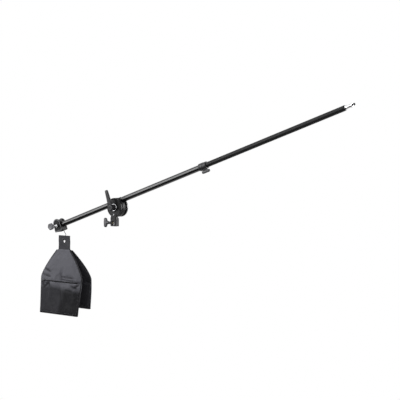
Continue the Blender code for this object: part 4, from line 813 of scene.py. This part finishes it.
# Tab: several layers of coated polyester sewn flat, with bound edges and two rows of stitching, and a
# blackened eyelet pressed through it.
def woven_cloth(name, colour, pitch, relief, sheen, crease):
    """Coated plain weave: crossed waves a thread apart, broad fading, and shallow creases.

    Real threads are about 0.5 mm apart; they are drawn coarser so that the weave shows, with their crowns in
    the third colour. The lower mark takes the tone to the fourth, as painted shade on the lower panels and the
    rear pocket, and the crease mark paints shade into the bottoms of creases.
    """
    material, shader = shaded(name)
    for setting, value in (("Sheen Weight", sheen), ("Sheen Roughness", 0.5), ("Specular IOR Level", 0.06)):
        shader.inputs[setting].default_value = value
    place = add(material, "ShaderNodeTexCoord").outputs["Object"]
    bands = {"Vector": place, "Scale": 0.314 / pitch, "Distortion": 0.5, "Detail": 1.0}
    warp = add(material, "ShaderNodeTexWave", bands, wave_type="BANDS", bands_direction="X").outputs["Fac"]
    weft = add(material, "ShaderNodeTexWave", bands, wave_type="BANDS", bands_direction="Z").outputs["Fac"]
    weave = maths(material, "MULTIPLY", warp, weft)
    tone = mixed(material, noise(material, place, 9.0, 4.0), *colour[:2])
    # Painted shade on the lower panels and the rear pocket.
    tone = mixed(material, mark_of(material, "lower"), tone, colour[3])
    # Painted shade in the bottoms of creases.
    tone = mixed(material, mark_of(material, "painted_crease_shade"), tone, "#0D0D0E")
    tone = mixed(material, ranged(material, weave, 0.0, 1.0, 0.0, 0.25), tone, colour[2])
    rough = ranged(material, noise(material, place, 40.0, 1.0), 0.3, 0.7, 0.62, 0.78)
    folds = noise(material, place, 28.0, 6.0, 0.55, 0.8)
    woven = bumped(material, weave, relief, 0.7)
    return finished(material, tone, rough, bumped(material, folds, crease, 0.6, Normal=woven))


# Coated polyester of the tab, brass blackened by a chemical bath, and grey polyester sewing thread.
tab_tones = ("#2E2E31", "#3A3A3D", "#444447", "#2A2A2D")
tab_cloth = woven_cloth("coated_polyester_tab", tab_tones, 0.0011, 0.00008, 0.0, 0.0030)
blackened = turned_metal("blackened_eyelet_brass", ("#1C1C1D", "#2A2A2B"), 0.3, 0.0004)
sewing_thread = moulded_plastic("polyester_thread", ("#4C4C50", "#5C5C60"), 0.55, 0.0005, 0.00005)
HALF_TAB, TAB_TOP, TAB_FOOT = 0.0375, 0.0265, 0.0475
HALF_TAB_THICKNESS = 0.0017
eyelet_at = np.array([-0.349138, 0.030734, -0.085612])


def tab_layer(depth):
    """Rows of points from the eyelet hole outwards to the tab's outline, at a depth in Y.

    Each ray from the hole's centre runs from the hole's radius to the outline's box, blended by its share.
    """
    a = np.arange(160) / 160 * 2 * np.pi
    c, s = np.cos(a), np.sin(a)
    side = np.where(s > 0, TAB_TOP, TAB_FOOT)
    outline = np.minimum(HALF_TAB / np.maximum(np.abs(c), 1e-6), side / np.maximum(np.abs(s), 1e-6))
    share = np.concatenate([np.linspace(0, 0.9, 14), [0.95, 0.985, 1.0]])[:, None]
    r = 0.0075 + (outline - 0.0075) * share
    x, z = r * c, r * s
    soft = 0.0010 * np.sin(x * 70 + 0.6) * np.clip(-z / 0.05, 0, 1) + 0.0005 * np.sin(z * 160 + x * 60)
    edge = np.clip((1 - share) / 0.05, 0, 1) ** 0.5
    y = soft * np.clip((r - 0.011) / 0.01, 0, 1) + depth * (0.35 + 0.65 * edge)
    return np.stack([x, y, z], axis=2)


tab_grid = np.concatenate([tab_layer(-HALF_TAB_THICKNESS), tab_layer(HALF_TAB_THICKNESS)[::-1]]) + eyelet_at
tab = skin("sewn_tab", (tab_grid, True, True))
fitted(tab, tab_cloth, "bag", "cloth", "bag_tab")
ring_profile = [(0.0105, 0.00205), (0.0100, 0.00262), (0.0088, 0.00285), (0.0078, 0.00275), (0.0075, 0.00205)]
ring_grid = turned(rounded(ring_profile, 0.0005, closed=True))
for side_name, turn in BOTH_SIDES:
    ring_line = moved(eyelet_at, turn)
    eyelet = on_line("pressed_eyelet_" + side_name, ring_grid, ring_line, closed=True)
    fitted(eyelet, blackened, "bag", "dark_steel", "eyelet_" + side_name)


def stitches(name, path, pitch=0.0040, length=0.0030):
    """Row of stitches on a path: ellipsoids, centre + L/2 cos p T + r sin p (1.3 cos q S + sin q N)."""
    p = np.asarray(path, float)
    run = np.concatenate([[0.0], np.cumsum(np.linalg.norm(np.diff(p, axis=0), axis=1))])
    at = np.arange(pitch / 2, run[-1], pitch)
    centres, ahead, behind = [
        np.stack([np.interp(np.minimum(at + step, run[-1]), run, p[:, i]) for i in range(3)], axis=1)
        for step in (0.0, 0.001, -0.001)
    ]
    t = unit(ahead - behind)
    side = unit(np.cross(t, (0.0, 1.0, 0.0)))
    up = np.cross(side, t)
    along, round_it = np.linspace(0, np.pi, 5)[:, None, None], (np.arange(6) / 6 * 2 * np.pi)[None, :, None]
    grids = []
    for c, d, s, n in zip(centres, t, side, up):
        grid = c + length / 2 * np.cos(along) * d
        girth = np.cos(round_it) * s * 1.3 + np.sin(round_it) * n
        grids.append((grid + THREAD_THICKNESS / 2 * np.sin(along) * girth, False, True))
    return skin(name, *grids)


THREAD_THICKNESS = 0.0006
for side_name, depth in (("front", -HALF_TAB_THICKNESS), ("rear", HALF_TAB_THICKNESS)):
    for row, inset in enumerate((0.0035, 0.0065)):
        left, right, top, low = -HALF_TAB + inset, HALF_TAB - inset, TAB_TOP - inset, -0.0455
        corners = np.array([(left, low), (left, top), (right, top), (right, low)])
        line = np.stack([corners[:, 0], np.full(4, depth), corners[:, 1]], axis=1) + eyelet_at
        seam = stitches(f"tab_stitches_{side_name}_{row}", line)
        fitted(seam, sewing_thread, "bag", "cloth")

# Pockets: two empty flat bags of coated polyester, sewn to the tab. Each has straight shoulders, a seam
# across its fullest part and a panel below that hangs nearly straight; the cloth is simulated slack.
DROP_TOP = -0.123112
SEAM_DROP = 0.150
SHOULDER_DROP = 0.135
# The bags' coated polyester, charcoal, with a near-black fourth tone for the painted shade on the lower panels
# and the rear pocket, and its black edge tape.
bag_tones = ("#48484D", "#535358", "#5E5E64", "#0B0B0C")
edge_tones = ("#1E1E20", "#262628", "#323234", "#1E1E20")
pocket_cloth = woven_cloth("coated_polyester_bag", bag_tones, 0.0013, 0.0001, 0.0, 0.0045)
edge_tape = woven_cloth("bound_edge_tape", edge_tones, 0.0011, 0.00008, 0.03, 0.0005)


def half_width(drop, height):
    """Half the pocket's width: shoulders 40 to 135 mm by 1 - (1 - t)^1.35, then drawn in to 123 mm."""
    t = np.minimum(drop / SHOULDER_DROP, 1.0)
    shoulder = 0.080 + 0.190 * (1 - (1 - t) ** 1.35)
    below = np.maximum(drop - SHOULDER_DROP, 0) / (height - SHOULDER_DROP)
    return (shoulder - 0.024 * below) / 2


def fullness(across, drop, height):
    """Half the thickness: 3 mm at the edge, up to 12 mm more inside, by (1 - a^2) sin(0.8 pi d / h)."""
    return 0.003 + 0.012 * (1 - across**2) * np.sin(np.pi * np.minimum(drop / height * 0.8, 1.0))


def pocket_sheet(height, bulge, side, dents):
    """One face of a pocket: x across, -drop down, and y at 0.72 of the fullness, tucked in along the seam.

    Each dent is (x, drop, half width, half height, slant, depth) and falls off as exp(-(u/W)^2 - (v/H)^2).
    """
    drop = np.linspace(0, 1, 84)[:, None] * height
    across = np.linspace(-1, 1, 76)[None, :]
    x = across * half_width(drop, height)
    y = side * fullness(across, drop, height) * 0.72 + bulge * np.sin(np.pi * drop / height)
    tuck = 0.0035 * np.exp(-(((drop - SEAM_DROP) / 0.006) ** 2)) * (1 - across**8)
    y = y - side * tuck
    for middle_x, middle_drop, size_x, size_drop, slant, deep in dents:
        u = (x - middle_x) + slant * (drop - middle_drop)
        fall = np.exp(-((u / size_x) ** 2) - (((drop - middle_drop) / size_drop) ** 2))
        y = y - side * deep * fall * (1 - across**4)
    return np.stack([x, y, np.broadcast_to(-drop, x.shape)], axis=2)


def slackened(piece, pressure, growth, most, pinned_above):
    """Cloth simulation of a closed bag in cells of 4.5 mm: it grows a little and wrinkles, and no point moves
    further than the most. Its hem is stretched back to where it was cut.
    """
    in_cells(piece, 0.0045)
    mesh = as_mesh(piece)
    piece.modifiers.clear()
    piece.data = mesh
    rest = values(mesh.vertices, "co")
    held = piece.vertex_groups.new(name="held")
    for index in np.flatnonzero(rest[:, 2] > -pinned_above).tolist():
        held.add([index], 1.0, "REPLACE")
    cloth = piece.modifiers.new("slack", "CLOTH")
    settings = cloth.settings
    settings.quality = 6
    settings.mass = 0.25
    settings.tension_stiffness = 25
    settings.compression_stiffness = 25
    settings.shear_stiffness = 8
    settings.bending_stiffness = 0.25
    settings.use_pressure = True
    settings.uniform_pressure_force = pressure
    settings.shrink_min = -growth
    settings.vertex_group_mass = "held"
    settings.effector_weights.gravity = 0.0
    cloth.collision_settings.use_collision = False
    scene = bpy.context.scene
    for number in range(1, 21):
        scene.frame_set(number)
    shift = values(as_mesh(piece).vertices, "co") - rest
    size = np.linalg.norm(shift, axis=1, keepdims=True)
    shift *= np.minimum(1.0, most / np.maximum(size, 1e-9))
    piece.modifiers.clear()
    piece.vertex_groups.clear()
    loose_points = rest + shift
    loose_points[:, 2] *= rest[:, 2].min() / loose_points[:, 2].min()
    mesh.vertices.foreach_set("co", loose_points.ravel())
    scene.frame_set(1)


def creased(piece, creases, outward):
    """Press creases into one face, and mark painted shade in the creases, on the front pocket's lower panel
    and over the rear pocket.

    Each crease is (x, drop, half length, half width, angle, depth): y moves by depth exp(-(w/W)^2 - (l/L)^4).
    """
    p = points_of(piece)
    face = np.clip(p[:, 1] * outward / 0.003 + 0.5, 0, 1)
    shift = np.zeros(len(p))
    for x, drop, length, width, angle, depth in creases:
        c, s = math.cos(math.radians(angle)), math.sin(math.radians(angle))
        along = (p[:, 0] - x) * c - (p[:, 2] + drop) * s
        over = (p[:, 0] - x) * s + (p[:, 2] + drop) * c
        shift -= depth * np.exp(-((over / width) ** 2) - (along / length) ** 4)
    p[:, 1] += outward * shift * face
    piece.data.vertices.foreach_set("co", p.ravel())
    drop = -p[:, 2]
    # Painted shade in the bottoms of the creases.
    marked(piece, "painted_crease_shade", face * np.clip(-shift / 0.005, 0, 1) * 0.9)
    x = p[:, 0]
    # Painted shade: below a wavy line under the seam, the front pocket's lower panel takes the dark tone, most
    # at the lower right where the cloth turns away. The rear pocket behind it is painted dark all over as
    # shadow, a little less towards its foot.
    edge = SEAM_DROP + 0.026 + 0.05 * x + 0.002 * np.sin(x * 55 + 1.0) + 0.002 * np.sin(x * 140)
    painted_shade_lower_right = np.clip((x - 0.018 + (drop - 0.240) * 0.25) / 0.016 + 0.5, 0, 1)
    painted_shade_lower_right = painted_shade_lower_right * np.clip((drop - 0.188) / 0.014, 0, 1)
    if outward < 0:
        lower = np.clip((drop - edge) / 0.022 + 0.5, 0, 1) * (0.84 + 0.16 * painted_shade_lower_right)
    else:
        lower = 0.84 - 0.16 * np.clip((drop - 0.10) / 0.12, 0, 1)
    marked(piece, "lower", lower)


def surface_line(piece, points, side):
    """Points (x, z) dropped onto a bag's face from its front (-1) or its back (1), in the bag's own frame."""
    mesh = piece.data
    tree = BVHTree.FromPolygons([v.co for v in mesh.vertices], [p.vertices[:] for p in mesh.polygons])
    found = []
    for x, z in points:
        hit = tree.ray_cast(Vector((x, side * 0.2, z)), Vector((0, -side, 0)))[0]
        if hit:
            found.append(hit)
    return np.array(found)


def sewn_pocket(name, place, height, bulge, outward, dents, creases):
    """A pocket with its bound edge and its stitching. Its cloth is moved into place once the zip is on."""
    front = pocket_sheet(height, bulge, -1, dents if outward < 0 else [])
    rear = pocket_sheet(height, bulge, 1, dents if outward > 0 else [])
    pocket = skin(name + "_cloth", (front, False, False), (rear, False, False), *pocket_rims(front, rear))
    slackened(pocket, pressure=1.2, growth=0.035, most=0.008, pinned_above=0.016)
    creased(pocket, creases, outward)
    top, hem = 0.004, height - 0.002
    edge_u = np.concatenate([np.full(60, -0.985), np.linspace(-0.985, 0.985, 60)[1:-1], np.full(60, 0.985)])
    edge_d = np.concatenate([np.linspace(top, hem, 60), np.full(58, hem), np.linspace(hem, top, 60)])
    edge_x = edge_u * half_width(edge_d, height)
    edge_path = np.stack([edge_x, bulge * np.sin(np.pi * edge_d / height), -edge_d], axis=1)
    edge_grid = capped(swept(edge_path, ellipse(12, 0.0022, 0.0032), (0.0, 1.0, 0.0)))
    binding = skin(name + "_binding", (edge_grid, False, True))
    inner_x = edge_u / 0.985 * 0.94 * half_width(edge_d, height)
    rows = [("edge_stitches", np.stack([inner_x, -np.minimum(edge_d, height - 0.009)], axis=1)[2:-2])]
    for number, drop in enumerate((SEAM_DROP - 0.0075, SEAM_DROP + 0.0075)):
        across = np.linspace(-0.93, 0.93, 90) * half_width(np.array(drop), height)
        rows.append((f"seam_stitches_{number}", np.stack([across, np.full(90, -drop)], axis=1)))
    seams = []
    for row_name, row in rows:
        found = surface_line(pocket, row, outward) + [0, outward * 0.0002, 0]
        seams.append(stitches(f"{name}_{row_name}", found, 0.0045, 0.0034))
    smooth = pocket.modifiers.new("soft", "SUBSURF")
    smooth.levels = 1
    smooth.render_levels = 1
    pocket.data.shade_smooth()
    fitted(pocket, pocket_cloth, name, "cloth", name)
    for piece, material in ((binding, edge_tape), *((seam, sewing_thread) for seam in seams)):
        piece.data.transform(place)
        fitted(piece, material, name, "cloth")
    return pocket


def pocket_rims(front, rear):
    """Strips that close the two faces of a pocket along their four edges."""
    edges = [(face[0], face[-1], face[:, 0], face[:, -1]) for face in (front, rear)]
    return [(np.stack([a, a + (b - a) * 0.5, b]), False, False) for a, b in zip(*edges)]


def capped(grid):
    """Grid with its first and last sections drawn together to their centres."""
    ends = [np.broadcast_to(row.mean(axis=0), row.shape) for row in (grid[0], grid[-1])]
    return np.concatenate([ends[0][None], grid, ends[1][None]])


front_place = moved((-0.349138, 0.025684, DROP_TOP), math.radians(-6.6))
rear_place = moved((-0.349138, 0.035784, DROP_TOP), math.radians(7.7))
front_dents = [
    (-0.060, 0.125, 0.030, 0.008, 0.3, 0.0030),
    (-0.035, 0.105, 0.045, 0.009, -0.25, 0.0024),
    (0.070, 0.128, 0.030, 0.008, -0.5, 0.0040),
    (0.100, 0.160, 0.022, 0.014, 0.2, 0.0050),
    (0.060, 0.240, 0.030, 0.055, 0.15, 0.0060),
    (-0.070, 0.215, 0.012, 0.050, 0.1, 0.0025),
    (0.000, 0.190, 0.040, 0.012, 0.2, 0.0020),
]
rear_dents = [(0.070, 0.120, 0.030, 0.010, 0.3, 0.0030), (-0.060, 0.180, 0.040, 0.030, 0.2, 0.0030)]
front_creases = [
    (-0.085, 0.100, 0.026, 0.0038, 18, 0.0060),
    (-0.115, 0.118, 0.016, 0.0040, 30, 0.0050),
    (-0.078, 0.128, 0.022, 0.0036, 10, 0.0050),
    (0.010, 0.130, 0.024, 0.0060, 82, 0.0022),
    (0.050, 0.129, 0.040, 0.0032, 2, 0.0045),
    (0.055, 0.142, 0.045, 0.0032, 2, 0.0040),
    (-0.112, 0.166, 0.018, 0.0055, 35, 0.0065),
    (-0.085, 0.172, 0.018, 0.0055, -40, 0.0065),
    (-0.065, 0.166, 0.014, 0.0055, 60, 0.0055),
    (-0.095, 0.160, 0.030, 0.0045, 5, 0.0045),
    (0.108, 0.165, 0.018, 0.0045, -35, 0.0060),
    (0.095, 0.172, 0.020, 0.0045, 15, 0.0050),
    (0.065, 0.190, 0.022, 0.0045, 5, 0.0030),
    (0.020, 0.235, 0.060, 0.0080, 72, 0.0040),
]
rear_creases = [(0.070, 0.125, 0.030, 0.004, 10, 0.004), (-0.070, 0.165, 0.030, 0.004, 30, 0.004)]
front_pocket = sewn_pocket("front_pocket", front_place, 0.302, 0.0, -1, front_dents, front_creases)
rear_pocket = sewn_pocket("rear_pocket", rear_place, 0.276, 0.015, 1, rear_dents, rear_creases)

# Zips: a coil zip on woven tape, sewn into the seam across each pocket, with a small blackened slider at
# the left.
zip_tape = woven_cloth("zip_tape", ("#0E0E0F", "#161618", "#202022", "#0E0E0F"), 0.0008, 0.00006, 0.03, 0.0002)
TOOTH_PITCH = 0.0014
tape_flat = np.array([
    (-0.0006, -0.0024), (-0.0006, 0.0024), (0.0, 0.0027), (0.0006, 0.0024), (0.0006, -0.0024), (0.0, -0.0027),
])
slider_rows = np.array([
    (0.0, 0.0, 0.0, 3.0), (0.0, 0.0048, 0.0036, 3.0), (0.0005, 0.0058, 0.0044, 3.2),
    (0.0018, 0.0060, 0.0045, 3.2), (0.0026, 0.0052, 0.0038, 3.0), (0.0028, 0.0030, 0.0020, 2.6),
    (0.0028, 0.0, 0.0, 2.0),
])
for name, pocket, place, outward in (
    ("front", front_pocket, front_place, -1),
    ("rear", rear_pocket, rear_place, 1),
):
    x = np.linspace(-0.110, 0.110, 441)
    points = np.stack([x, np.full(441, -SEAM_DROP)], axis=1)
    found = [surface_line(pocket, points + [0, rise], outward)[:, 1] * outward for rise in (-0.003, 0, 0.003)]
    face = outward * (np.max(found, axis=0) + 0.0007)
    run = np.stack([x, face, points[:, 1]], axis=1)
    tape = capped(swept(run, tape_flat, (0.0, 0.0, 1.0)))
    ripple = 1 + 0.28 * np.cos(x / TOOTH_PITCH * 2 * np.pi)[:, None, None]
    tooth = ellipse(8, 0.0008, 0.0016)[None] * ripple
    teeth = capped(swept(run + [0, outward * 0.0004, 0], tooth, (0.0, 0.0, 1.0)))
    zip_piece = skin(name + "_coil_zip", (tape, False, True), (teeth, False, True))
    zip_piece.data.transform(place)
    fitted(zip_piece, zip_tape, name + "_pocket", "cloth", name + "_zip")
    near = outward * (max(face[12] * outward, face[-13] * outward) + 0.0012)
    slider_line = moved((-0.104, near, -SEAM_DROP), math.pi / 2 * -outward)
    slider = on_line(name + "_zip_runner", lofted(*slider_rows.T[:3], slider_rows[:, 3], 40), slider_line)
    slider.data.transform(place)
    fitted(slider, blackened, name + "_slider", "dark_steel", name + "_zip_slider")

front_pocket.data.transform(front_place)
rear_pocket.data.transform(rear_place)

low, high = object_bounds()
